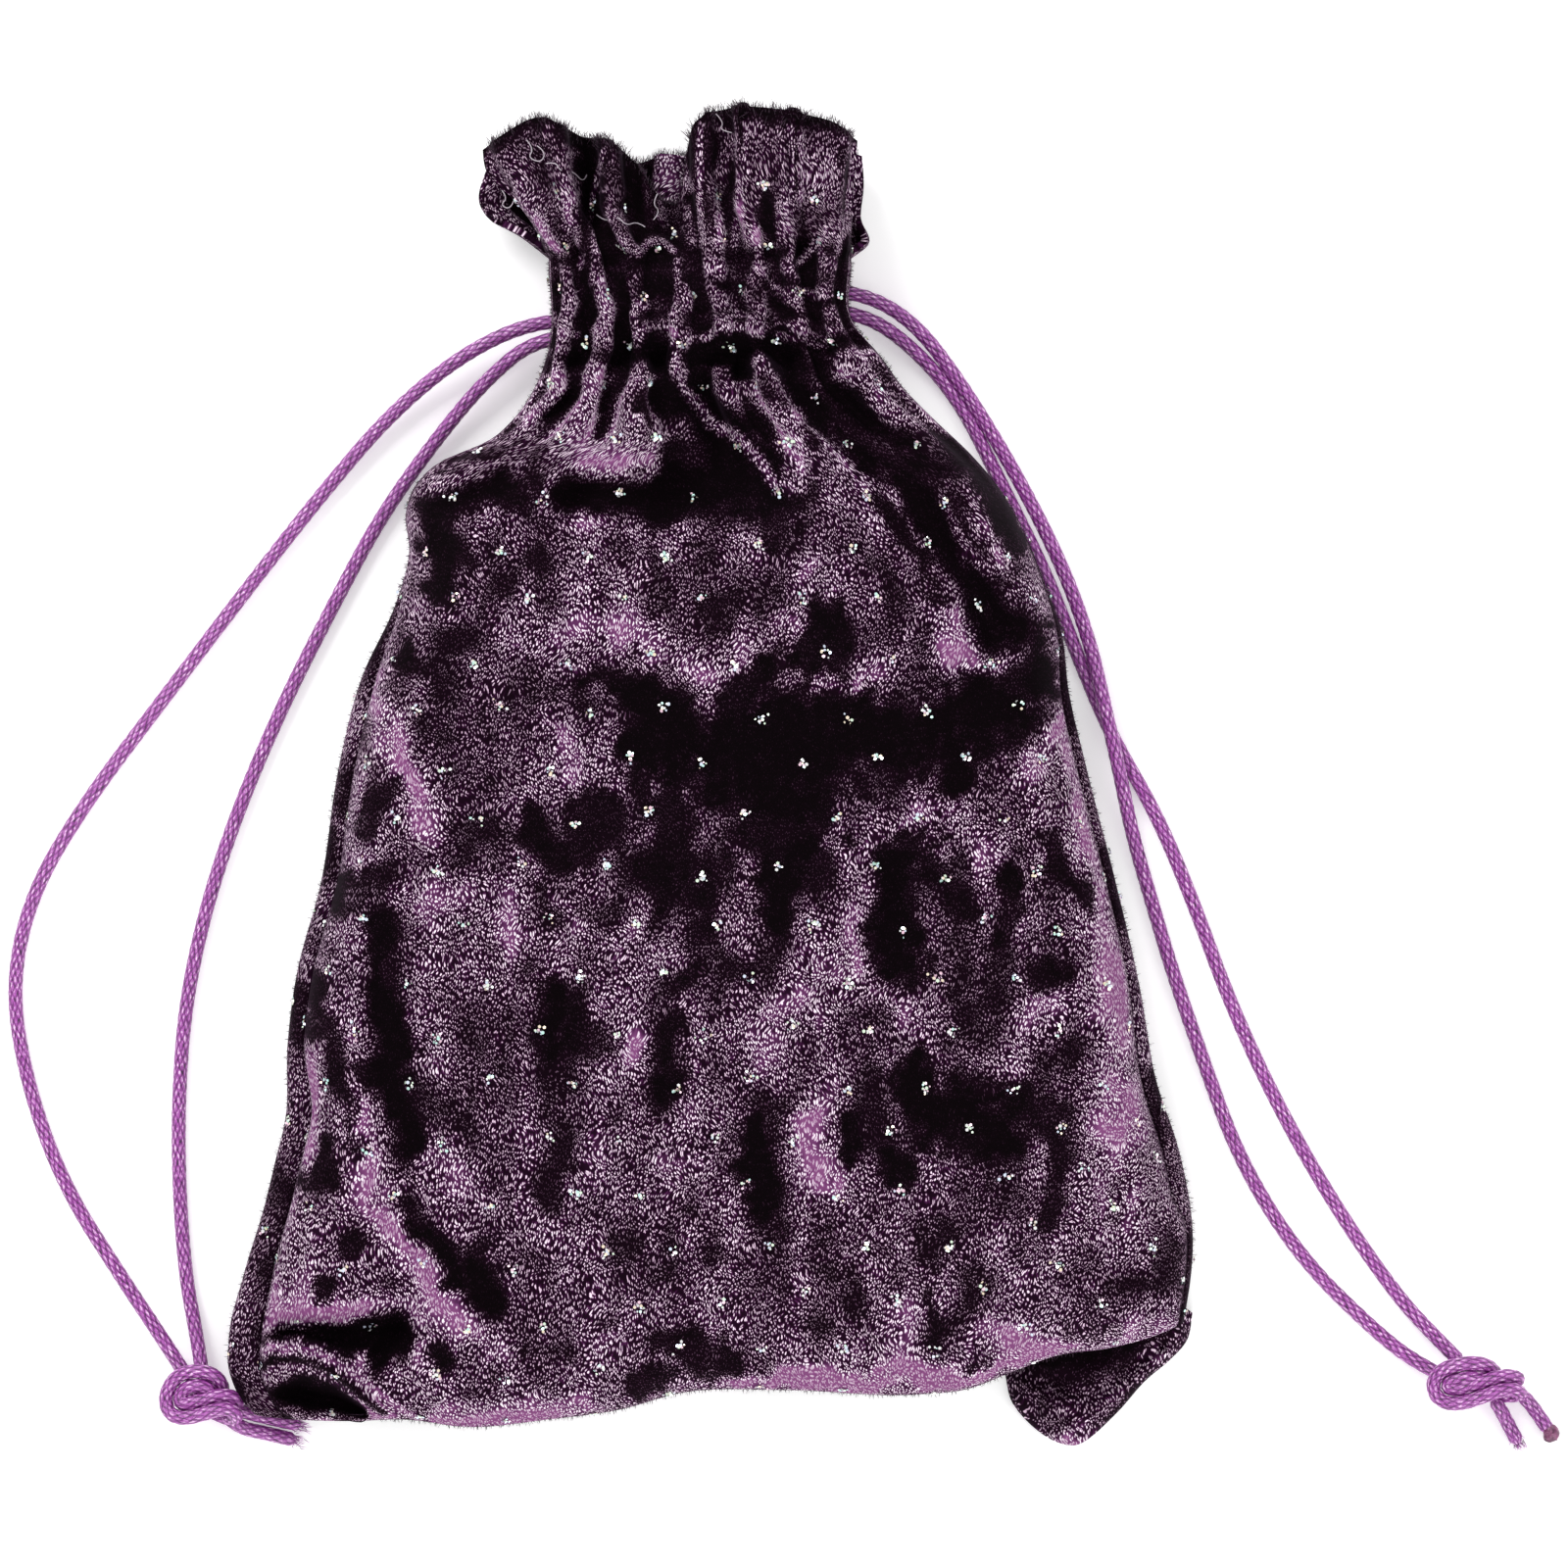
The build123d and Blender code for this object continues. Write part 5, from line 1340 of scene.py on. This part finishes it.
def front_cloth():
    """The front's sheet of velvet, from the bottom fold to the ruffle's edge."""
    grid, flat = panel(True)
    x, y = grid[:, :, 0], grid[:, :, 1]
    share = np.abs(np.linspace(-1, 1, COLUMNS))[None]
    inner = ramp(share, 1.0, 0.88) * ramp(np.arange(len(grid)), 0, ROLL_ROWS * 0.6)[:, None]
    calm = inner * ramp(y, 64, 58)
    grid[:, :, 2] += fold_height(x, y) * np.maximum(calm, inner * 0.6)
    grid[:, :, 2] += channel_puffs(x, y)
    crumple = (
        0.85 * lumps(x + 0.3 * y, y, 16, 21) + 0.55 * lumps(x, y + 0.3 * x, 7, 22)
        + 0.20 * lumps(x, y, 3.2, 23) + 0.07 * lumps(x, y, 1.5, 24)
    )
    grid[:, :, 2] += crumple * (0.25 + 0.75 * calm) * ramp(y, 90, 50) * (0.3 + 0.7 * inner)
    # the cloth stays above the cord in the channel
    over_cord = np.minimum(ramp(y, 54.0, 61.0), ramp(y, 74.0, 68.0)) * ramp(share, 0.92, 0.82)
    lowest = 12.6 + 4.4 * over_cord - 20 * (over_cord <= 0)
    over = grid[:, :, 2] - lowest
    grid[:, :, 2] = lowest + np.where(grid[:, :, 2] > lowest + 1, over, np.exp(np.minimum(over - 1, 0)))
    grid[:, :, 2] = np.minimum(grid[:, :, 2], TOP_Z + 0.6)
    pile = pile_crush_and_painted_light(x, y, 0.06 * ramp(y, 45, 58))
    # in the neck, painted light on each pleat's crest and painted shade, near black, in the valleys between
    crest = ramp(grid[:, :, 2], 16.8, 18.5)
    gathered = ramp(y, 49, 58) * ramp(y, 78, 71)
    mottled = 0.12 * lumps(x, y, 2.6, 53) + 0.10 * lumps(x, y, 1.2, 54)
    pleat_light_and_shade = (0.03 + pile * 0.74) * (0.40 + 0.60 * crest) + mottled * ramp(pile, 0.0, 0.3)
    pleat_light_and_shade = pleat_light_and_shade * (1 - 0.22 * ramp(x, -3, 3) * ramp(crest, 0.3, 0.9))
    pile = pile * (1 - gathered) + gathered * pleat_light_and_shade
    pile = painted_light_and_shade_on_folds(grid, pile)
    raw_edge = ramp(np.arange(len(grid)), len(grid) - 4, len(grid) - 1)[:, None]
    pile = pile * (1 - ramp(y, 74, 80) * (0.14 + 0.20 * ramp(x, -6, -12)))
    pile = rims(x, y, pile) * (1 - 0.7 * raw_edge)
    pile = np.clip(pile, 0, 1)
    piece = mesh_object(
        "front_velvet", grid.reshape(-1, 3), grid_faces(len(grid), COLUMNS),
        VELVET, {"flat": flat.reshape(-1, 3), "pile": pile.ravel()},
    )
    return piece, grid, flat


def back_cloth():
    """The back's sheet of velvet, which lies on the table."""
    grid, flat = panel(False)
    x, y = grid[:, :, 0], grid[:, :, 1]
    share = np.abs(np.linspace(-1, 1, COLUMNS))[None]
    inner = ramp(share, 1.0, 0.9)
    crumple = 0.5 * lumps(x, y, 12, 61) + 0.25 * lumps(x, y, 5, 62) + 0.1 * lumps(x, y, 2.5, 63)
    grid[:, :, 2] += np.abs(crumple) * inner * ramp(y, 57, 40) * 1.3
    side = 1 - inner
    grid[:, :, 2] += 0.25 * lumps(x, y, 4, 64) * side
    grid[:, :, 2] = np.maximum(grid[:, :, 2], 0.04)
    pile = 0.48 + 0.2 * lumps(x, y, 8, 65) + 0.16 * lumps(x, y, 3.5, 66) + 0.08 * lumps(x, y, 1.6, 68)
    marks = ramp(lumps(x, 0.6 * y, 6.5, 67) + 0.3 * lumps(x, y, 2.2, 69), 0.25, 0.6) * 0.95 * (1 - 0.6 * side)
    # painted shade on the side rolls, where the cloth curls under the pouch
    pile = np.clip(pile * (1 - marks) - 0.08 * side, 0, 1)
    # in the ruffle's flutes, painted light on the crests and painted shade below
    fluted = ramp(y, 70, 76)
    mid_height = box_blur(grid[:, :, 2], 1, 12)
    light = 0.33 + 0.30 * (grid[:, :, 2] - mid_height) + 0.14 * lumps(x, y, 3.0, 55)
    light = light + 0.1 * lumps(x, y, 1.2, 56)
    pile = np.clip(pile * (1 - fluted) + light * fluted, 0, 1)
    piece = mesh_object(
        "back_velvet", grid.reshape(-1, 3), grid_faces(len(grid), COLUMNS, flip=True),
        VELVET, {"flat": flat.reshape(-1, 3) + (300.0, 0.0, 0.0), "pile": pile.ravel()},
    )
    return piece, grid, flat


front, front_grid, front_flat = front_cloth()
back, back_grid, back_flat = back_cloth()
front_out = surface_normals(front_grid)
back_out = -surface_normals(back_grid)
solidify(front)
solidify(back)
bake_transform(front)
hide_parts("front_panel", "front_yoke", "front_casing", "front_ruffle")
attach(back, "pouch")
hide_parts("back_panel", "back_casing", "back_ruffle")


CORNER_COLUMNS = 90
CORNER_TOP_ROWS = 34
CORNER_UNDER_ROWS = 14


def turned_out_corner():
    """The bottom right corner of the pouch, which lies turned out below the front's edge."""
    outer = [(40.0, -80.6), (41.0, -84.6), (44.2, -88.2), (47.8, -90.2), (50.8, -89.9), (55.2, -86.0),
             (58.9, -81.8), (62.4, -78.8), (64.8, -76.0), (65.5, -72.4)]
    inner = [(44.0, -77.4), (46.4, -75.6), (49.0, -74.4), (51.6, -73.6), (54.0, -73.0), (56.4, -72.6),
             (58.6, -72.2), (60.0, -71.6), (61.4, -71.0), (62.4, -70.0)]
    last = len(outer) - 1
    place = np.linspace(0, last, CORNER_COLUMNS)
    edge, root = (
        np.stack([smooth_curve([(k, q[axis]) for k, q in enumerate(line)], place) for axis in (0, 1)], 1)
        for line in (outer, inner)
    )
    # from the root out over the top to the edge, and back underneath
    over = np.sin(np.linspace(0.0, math.pi / 2, CORNER_TOP_ROWS))
    share = np.concatenate([over, np.linspace(1, 0.15, CORNER_UNDER_ROWS)[1:]])
    top = np.arange(len(share)) < CORNER_TOP_ROWS
    spot = root[None] + (edge - root)[None] * share[:, None, None]
    x, y = spot[:, :, 0], spot[:, :, 1]
    round_off = (1 - np.clip(share, 0, 1)[:, None] ** 2.6) ** 0.5
    ends = ramp(np.minimum(place, last - place) / last, 0, 0.16)[None]
    crease = stroke_distance(x, y, [(44, -81, 2.2), (52, -83.4, 2.4), (57, -80, 2.0), (61, -77, 1.4)])
    ridge = stroke_distance(x, y, [(48, -89, 1.4), (53, -85, 1.8), (58, -80.6, 1.6), (62, -77.4, 1.4)])
    high = 0.3 + 4.9 * round_off * (0.35 + 0.65 * ends)
    high += (-1.5 * ramp(crease, 0, 1) + 1.0 * ramp(ridge, 0, 1) + 0.35 * lumps(x, y, 3, 81)) * round_off
    z = np.where(top[:, None], np.maximum(high, 0.25), 0.06)
    # painted sheen on the lower tip and along the ridge
    tip = np.exp(-(((x - 48.5) / 4) ** 2 + ((y + 90) / 1.8) ** 2))
    pile = 0.36 + 0.5 * tip + 0.22 * ramp(ridge, 0, 0.9) + 0.16 * lumps(x, y, 2.6, 82)
    pile = pile + 0.12 * lumps(x, y, 1.1, 83)
    # painted shade near the root, under the front panel's edge
    pile = pile * (1 - 0.95 * ramp(share[:, None] + 0.1 * lumps(x, y, 2.0, 84), 0.62, 0.34))
    grid = np.stack([x, y, z], -1)
    piece = mesh_object(
        "turned_out_corner", grid.reshape(-1, 3), grid_faces(len(share), CORNER_COLUMNS, flip=True),
        VELVET, {"flat": (grid + (700.0, 0.0, 0.0)).reshape(-1, 3), "pile": np.clip(pile, 0, 1).ravel()},
    )
    piece.data.flip_normals()
    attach(piece, "pouch")


UPWARDS = np.array([0.0, 0.0, 1.0])
HEM_CLOTH = 0.8           # the thickness of hems and seam allowances
STRIP_PILE = 0.3          # how the pile leans on strips of cloth, which hardly show


def strip(name, middle, out, thick, material, body, replaced):
    """A strip of cloth: a grid of middle points given thickness both ways along out."""
    rows, columns = middle.shape[:2]
    upper = middle + out * thick / 2
    lower = middle - out * thick / 2
    points = np.concatenate([upper.reshape(-1, 3), lower.reshape(-1, 3)])
    faces = grid_faces(rows, columns) + grid_faces(rows, columns, flip=True, start=rows * columns)
    rim = [(0, k) for k in range(columns)] + [(j, columns - 1) for j in range(1, rows)]
    rim += [(rows - 1, k) for k in range(columns - 2, -1, -1)] + [(j, 0) for j in range(rows - 2, 0, -1)]
    rim = [j * columns + k for j, k in rim]
    for one, two in zip(rim, rim[1:] + rim[:1]):
        faces.append([two, one, one + rows * columns, two + rows * columns])
    flat = np.concatenate([upper, lower + (0.0, 0.0, 50.0)], axis=None).reshape(-1, 3)
    pile = np.full(len(points), STRIP_PILE)
    piece = mesh_object(name, points, faces, material, {"flat": flat, "pile": pile})
    if body:
        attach(piece, body)
    if replaced:
        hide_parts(replaced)
    return piece


def hem_strip(side, body, height):
    """The inner layer of the channel, slightly wavy."""
    x, y = np.meshgrid(np.linspace(CASING_LOW.x + 1.0, CASING_HIGH.x - 1.0, 120),
                       np.linspace(CASING_LOW.y, CASING_HIGH.y, 24))
    wave = 0.26 * np.sin(x * 1.25 + 0.4 * np.sin(y)) + 0.08 * lumps(x, y, 2.5, 91)
    middle = np.stack([x, y, height + wave], -1)
    strip(f"{side}_hem_cloth", middle, UPWARDS, HEM_CLOTH, BACKING, body, f"{side}_hem")


ALLOWANCE_COLUMNS = 10


def allowance_strip(side):
    """The seam allowance turned inside along one side. Gives its middle layer."""
    low, high = (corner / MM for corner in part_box(f"{side}_seam_allowance"))
    hand = -1 if side == "left" else 1
    y = np.linspace(low.y, high.y, 130)
    seam = smooth_curve(LEFT_EDGE if hand < 0 else RIGHT_EDGE, y) - hand * (front_inset(y, hand) + 0.9)
    depth = 4.4 + 0.5 * lumps(y, y * 0, 6, 92)
    share = np.linspace(0, 1, ALLOWANCE_COLUMNS)
    x = seam[:, None] - hand * share[None] * depth[:, None]
    z = SEAM_Z + 0.15 + 0.5 * share[None] * lumps(x, y[:, None] + 0 * x, 5, 93)
    middle = np.stack([x, np.repeat(y[:, None], ALLOWANCE_COLUMNS, 1), z], -1)
    if hand > 0:
        middle = middle[:, ::-1]
    strip(f"{side}_turned_allowance", middle, UPWARDS, HEM_CLOTH, BACKING, "pouch", f"{side}_seam_allowance")
    return middle


THREAD_SIDES = 6
THREAD_STEP = 0.3         # the twist's length along the thread for each of its points


def thread_tube(line, radius, start):
    """Points, faces and mapping of one plain tube with narrower ends."""
    points = np.asarray(line, float)
    angle = np.arange(THREAD_SIDES) * TAU / THREAD_SIDES
    ends = np.minimum(np.arange(len(points)), np.arange(len(points))[::-1])
    width = radius * np.where(ends == 0, 0.45, 1.0)
    shell, faces = tube(points, angle, np.repeat(width[:, None], THREAD_SIDES, 1), start, True)
    flat = np.zeros(shell.shape)
    flat[:, :, 0] = (angle * radius)[None]
    flat[:, :, 1] = (np.arange(len(points)) * THREAD_STEP)[:, None]
    return shell.reshape(-1, 3), faces, flat.reshape(-1, 3)


def threads(name, lines, radius, material, body, replaced):
    """Many short threads in one piece."""
    points, faces, flat = [], [], []
    start = 0
    for line in lines:
        shell, quads, mapped = thread_tube(line, radius, start)
        points.append(shell)
        flat.append(mapped)
        faces += quads
        start += len(shell)
    piece = mesh_object(name, np.concatenate(points), faces, material, {"flat": np.concatenate(flat)})
    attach(piece, body)
    if replaced:
        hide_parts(replaced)


STITCH_RADIUS = 0.22
STITCH_LENGTH = 1.9
STITCH_STEP = 2.9         # from the start of one stitch to the start of the next
STITCH_MARGIN = 20.0      # cloth at each side without stitches, measured round the pleats


def stitch_line(grid, out, y, name, body, replaced):
    """A row of machine stitches across the neck, sunk into the pleats that it gathers."""
    row = int(np.argmin(np.abs(grid[:, COLUMNS // 2, 1] - y)))
    line = grid[row] - out[row] * 0.30
    reach = np.concatenate([[0], np.cumsum(np.linalg.norm(np.diff(line, axis=0), axis=1))])
    lines = []
    place = STITCH_MARGIN
    while place < reach[-1] - STITCH_MARGIN:
        spots = np.linspace(place, place + STITCH_LENGTH, 7)
        lines.append(np.stack([np.interp(spots, reach, line[:, k]) for k in range(3)], 1))
        place += STITCH_STEP
    threads(name, lines, STITCH_RADIUS, THREAD, body, replaced)


def allowance_stitches(side, middle):
    """Stitches down the middle of one seam allowance, inside the pouch."""
    line = middle[:, middle.shape[1] // 2] + (0.0, 0.0, 0.45)
    lines = [line[k:k + 4] for k in range(4, len(line) - 6, 6)]
    threads(f"{side}_seam_thread", lines, STITCH_RADIUS, THREAD, "pouch", f"{side}_side_stitching")


GUSSET_COLUMNS = 64       # the front's outer columns, which the gusset follows on their inner side
GUSSET_LEVELS = 12
GUSSET_LOW, GUSSET_HIGH = 7.4, 13.4
GUSSET_GAP = 1.6          # how far inside the front's outer surface it lies
GUSSET_CLOTH = 0.6


def gusset(hand):
    """Cloth folded inside the shoulder."""
    rows = np.where((front_grid[:, 0, 1] > 33) & (front_grid[:, 0, 1] < 58.5))[0][::2]
    columns = np.arange(GUSSET_COLUMNS)
    if hand > 0:
        columns = COLUMNS - 1 - columns
    points = front_grid[rows][:, columns] - front_out[rows][:, columns] * GUSSET_GAP
    middle = np.zeros((len(rows), GUSSET_LEVELS, 3))
    for k in range(len(rows)):
        climb = np.maximum.accumulate(points[k, :, 2])
        heights = np.linspace(GUSSET_LOW, min(GUSSET_HIGH, climb[-1] - 0.05), GUSSET_LEVELS)
        for axis in (0, 1):
            middle[k, :, axis] = np.interp(heights, climb + np.arange(len(climb)) * 1e-4, points[k, :, axis])
        middle[k, :, 2] = heights
    middle[:, :, 0] += -hand * 0.5
    if hand > 0:
        middle = middle[:, ::-1]
    name = ("left" if hand < 0 else "right") + "_gusset"
    piece = strip(name, middle, np.array([hand, 0.0, 0.0]), GUSSET_CLOTH, VELVET, None, None)
    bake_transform(piece)


FUZZ_TRIES = 4            # fibres at most for each point of a row


def edge_fuzz(name, grid, out, rows, body, seed):
    """Pile and cut yarn standing out of a raw edge, past it and a little to both sides.

    rows gives each row, counted from the edge, and the share of its fibres that is drawn.
    """
    rng = np.random.default_rng(seed)
    roots, tips = [], []
    for row, share in rows:
        step = grid[row] - grid[row - 1]
        step /= np.linalg.norm(step, axis=1)[:, None] + 1e-9
        for k in range(2, COLUMNS - 2):
            for _ in range(FUZZ_TRIES):
                if rng.random() > share:
                    continue
                along = rng.random()
                root = grid[row, k] * (1 - along) + grid[row, k + 1] * along
                root = root - out[row, k] * rng.uniform(0, 0.7)
                way = step[k] + out[row, k] * rng.normal(0.1, 0.5)
                way = way + rng.normal(0, 0.30, 3) * (1.0, 0.3, 0.5)
                roots.append(root - step[k] * 0.2)
                tips.append(root + way * rng.uniform(0.35, 1.15))
    roots, tips = np.array(roots), np.array(tips)
    hairs(name, roots, tips, rng.normal(0, 0.10, roots.shape), 0.05, FUZZ, body)


def outline_fuzz():
    """Short pile that shows along the pouch's outline."""
    rng = np.random.default_rng(12)
    roots, tips = [], []
    body_rows = np.arange(ROLL_ROWS, ROLL_ROWS + BODY_ROWS + NECK_ROWS)
    for column_from, column_to in ((2, 16), (COLUMNS - 16, COLUMNS - 2)):
        for row in body_rows:
            for _ in range(7):
                k = rng.integers(column_from, column_to)
                out = back_out[row, k]
                if abs(out[0]) < 0.75:
                    continue
                root = back_grid[row, k] + (back_grid[row - 1, k] - back_grid[row, k]) * rng.random()
                roots.append(root - out * 0.1)
                tips.append(root + out * rng.uniform(0.2, 0.5) + rng.normal(0, 0.14, 3))
    for column in range(24, COLUMNS - 24):
        for _ in range(4):
            row = rng.integers(0, 5)
            out = front_out[row, column]
            here, beside = front_grid[row, column], front_grid[row, column - 1]
            root = here + (beside - here) * rng.random()
            roots.append(root - out * 0.1)
            tips.append(root + out * rng.uniform(0.2, 0.45) + rng.normal(0, 0.14, 3))
    roots, tips = np.array(roots), np.array(tips)
    bow = rng.normal(0, 0.05, roots.shape)
    hairs("outline_pile", roots, tips, bow, 0.045, FUZZ, "pouch")


# ---- glitter dots ----

GLITTER_ACROSS = 11.6     # distance between dots, staggered from row to row
GLITTER_ALONG = 7.2
FLAKE_CORNERS = 6
FLAKE_TINTS = [
    (0.95, 0.95, 0.95), (0.95, 0.95, 0.95), (0.55, 0.95, 0.85), (0.95, 0.55, 0.72), (0.70, 0.80, 1.00),
    (0.80, 1.00, 0.75), (1.00, 0.80, 0.55),
]


def glitter_dots(name, grid, out, flat, seed, shift):
    """Dots of small foil flakes, staggered over the cloth."""
    rng = np.random.default_rng(seed)
    points, faces, tints = [], [], []
    row_lines = flat[:, COLUMNS // 2, 1]
    for number, v in enumerate(np.arange(row_lines[0] + 3.0, row_lines[-1] - 2.0, GLITTER_ALONG), 1):
        row = int(np.argmin(np.abs(row_lines - v)))
        offset = GLITTER_ACROSS / 2 * (number % 2) + shift
        for u in np.arange(flat[row, 0, 0] + offset, flat[row, -1, 0] - 2.0, GLITTER_ACROSS):
            column = int(np.argmin(np.abs(flat[row, :, 0] - u - rng.normal(0, 0.9))))
            line = min(max(row + rng.integers(-1, 2), 1), len(grid) - 2)
            middle, up = grid[line, column], out[line, column]
            side = np.cross(up, (0.0, 1.0, 0.02))
            side /= np.linalg.norm(side) + 1e-9
            along = np.cross(up, side)
            for _ in range(rng.integers(6, 13)):
                spot = rng.normal(0, 0.40, 2)
                size = rng.uniform(0.12, 0.27)
                tilt = up + 0.7 * rng.normal(0, 0.5, 3)
                tilt /= np.linalg.norm(tilt)
                one = np.cross(tilt, side)
                one /= np.linalg.norm(one) + 1e-9
                two = np.cross(tilt, one)
                centre = middle + side * spot[0] + along * spot[1] + up * rng.uniform(0.14, 0.34)
                start = len(points)
                for corner in range(FLAKE_CORNERS):
                    turn = TAU * corner / FLAKE_CORNERS
                    points.append(centre + size * (math.cos(turn) * one + math.sin(turn) * two))
                tint = FLAKE_TINTS[rng.integers(len(FLAKE_TINTS))]
                tints += [tint] * FLAKE_CORNERS
                faces.append(list(range(start, start + FLAKE_CORNERS)))
    piece = mesh_object(name, points, faces, GLITTER, {"tint": np.array(tints)})
    return piece


# ---- loose threads caught on the ruffle ----


def on_front(x, y, lift):
    """The point lift over the front's surface at a place."""
    gap = (front_grid[:, :, 0] - x) ** 2 + (front_grid[:, :, 1] - y) ** 2
    row, column = np.unravel_index(np.argmin(gap), gap.shape)
    return np.array([x, y, front_grid[row, column, 2] + lift])


# Each curl's way over the ruffle, (x, y).
LOOSE_CURLS = [
    [(-28.0, 79.4), (-27.2, 78.4), (-28.2, 77.4), (-26.8, 76.8), (-26.4, 78.0)],
    [(-24.6, 86.0), (-23.6, 84.8), (-24.4, 83.6), (-22.6, 82.9), (-22.0, 84.4), (-23.2, 85.2)],
    [(-22.0, 82.8), (-20.6, 83.0), (-20.0, 81.6), (-18.4, 82.0), (-17.0, 80.4), (-16.6, 81.6)],
    [(-15.3, 76.2), (-14.0, 75.0), (-12.4, 75.8), (-11.2, 74.4), (-9.8, 75.2), (-8.7, 74.4)],
    [(0.8, 89.6), (2.0, 88.4), (1.2, 87.4), (3.0, 87.0)],
    [(-7.0, 79.0), (-7.8, 77.6), (-6.6, 76.6), (-7.6, 75.4)],
]


def loose_threads():
    """Pale curls of thread that lie on the ruffle."""
    lines = []
    for number, curl in enumerate(LOOSE_CURLS):
        route = [on_front(x, y, 0.35 + 0.25 * (k % 2)) * MM for k, (x, y) in enumerate(curl)]
        lines.append(nurbs_line(f"curl_{number}", [tuple(place) for place in route]) / MM)
    threads("loose_threads", lines, 0.07, LOOSE_THREAD, "mouth_front", None)


turned_out_corner()
hem_strip("front", "mouth_front", 13.5)
hem_strip("back", "pouch", 6.5)
for name in ("left", "right"):
    allowance_stitches(name, allowance_strip(name))
for name, grid, out, body in (
    ("front", front_grid, front_out, "mouth_front"), ("back", back_grid, back_out, "pouch"),
):
    for word, y in (("lower", 58.2), ("upper", 70.0)):
        stitch_line(grid, out, y, f"{name}_{word}_thread", body, f"{name}_{word}_stitching")
gusset(-1)
gusset(1)
edge_fuzz("front_edge_fuzz", front_grid, front_out, [(-1, 1.0), (-2, 0.5), (-3, 0.25), (-4, 0.1)],
          "mouth_front", 5)
edge_fuzz("back_edge_fuzz", back_grid, back_out, [(-1, 1.0), (-2, 0.4)], "pouch", 6)
outline_fuzz()
front_glitter = glitter_dots("front_glitter", front_grid, front_out, front_flat, 7, 2.0)
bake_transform(front_glitter)
back_glitter = glitter_dots("back_glitter", back_grid, back_out, back_flat, 8, 4.0)
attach(back_glitter, "pouch")
loose_threads()

for node in ("left_cord_back_run", "right_cord_back_run", "left_cord_front_run", "right_cord_front_run"):
    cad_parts[node].data.materials.clear()
    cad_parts[node].data.materials.append(CHANNEL_CORD)

# ---- floor and light ----


def make_stage():
    """A white table, a white world and three lamps."""
    bpy.ops.mesh.primitive_plane_add(size=6.0, location=(0, 0, 0))
    floor = bpy.context.object
    floor.name = "floor"
    m = Nodes("floor")
    cloud = m.noise(m.add("TexCoord").outputs["Object"], 3.0, 2.0)
    colour = m.colours(cloud, [(0.0, (0.86, 0.86, 0.86)), (1.0, (0.89, 0.89, 0.89))])
    floor.data.materials.append(m.finish(
        Base_Color=colour, Roughness=0.9, Emission_Color=(1.0, 1.0, 1.0, 1.0), Emission_Strength=0.34,
    ))
    world = bpy.data.worlds.new("studio")
    bpy.context.scene.world = world
    world.use_nodes = True
    world.node_tree.nodes["Background"].inputs["Color"].default_value = (1.0, 1.0, 1.0, 1.0)
    world.node_tree.nodes["Background"].inputs["Strength"].default_value = 0.72
    for name, place, size, power in (
        ("key", (-0.55, 0.75, 0.75), 0.5, 9.0),
        ("fill", (0.9, -0.3, 0.9), 0.8, 5.0),
        ("low", (0.1, -1.0, 0.45), 0.5, 4.0),
    ):
        lamp = bpy.data.lights.new(name, "AREA")
        lamp.size = size
        lamp.energy = power
        light = bpy.data.objects.new(name, lamp)
        light.location = place
        light.rotation_euler = (-Vector(place)).to_track_quat("-Z", "Y").to_euler()
        bpy.context.scene.collection.objects.link(light)
    bpy.context.scene.view_settings.view_transform = "Standard"


make_stage()
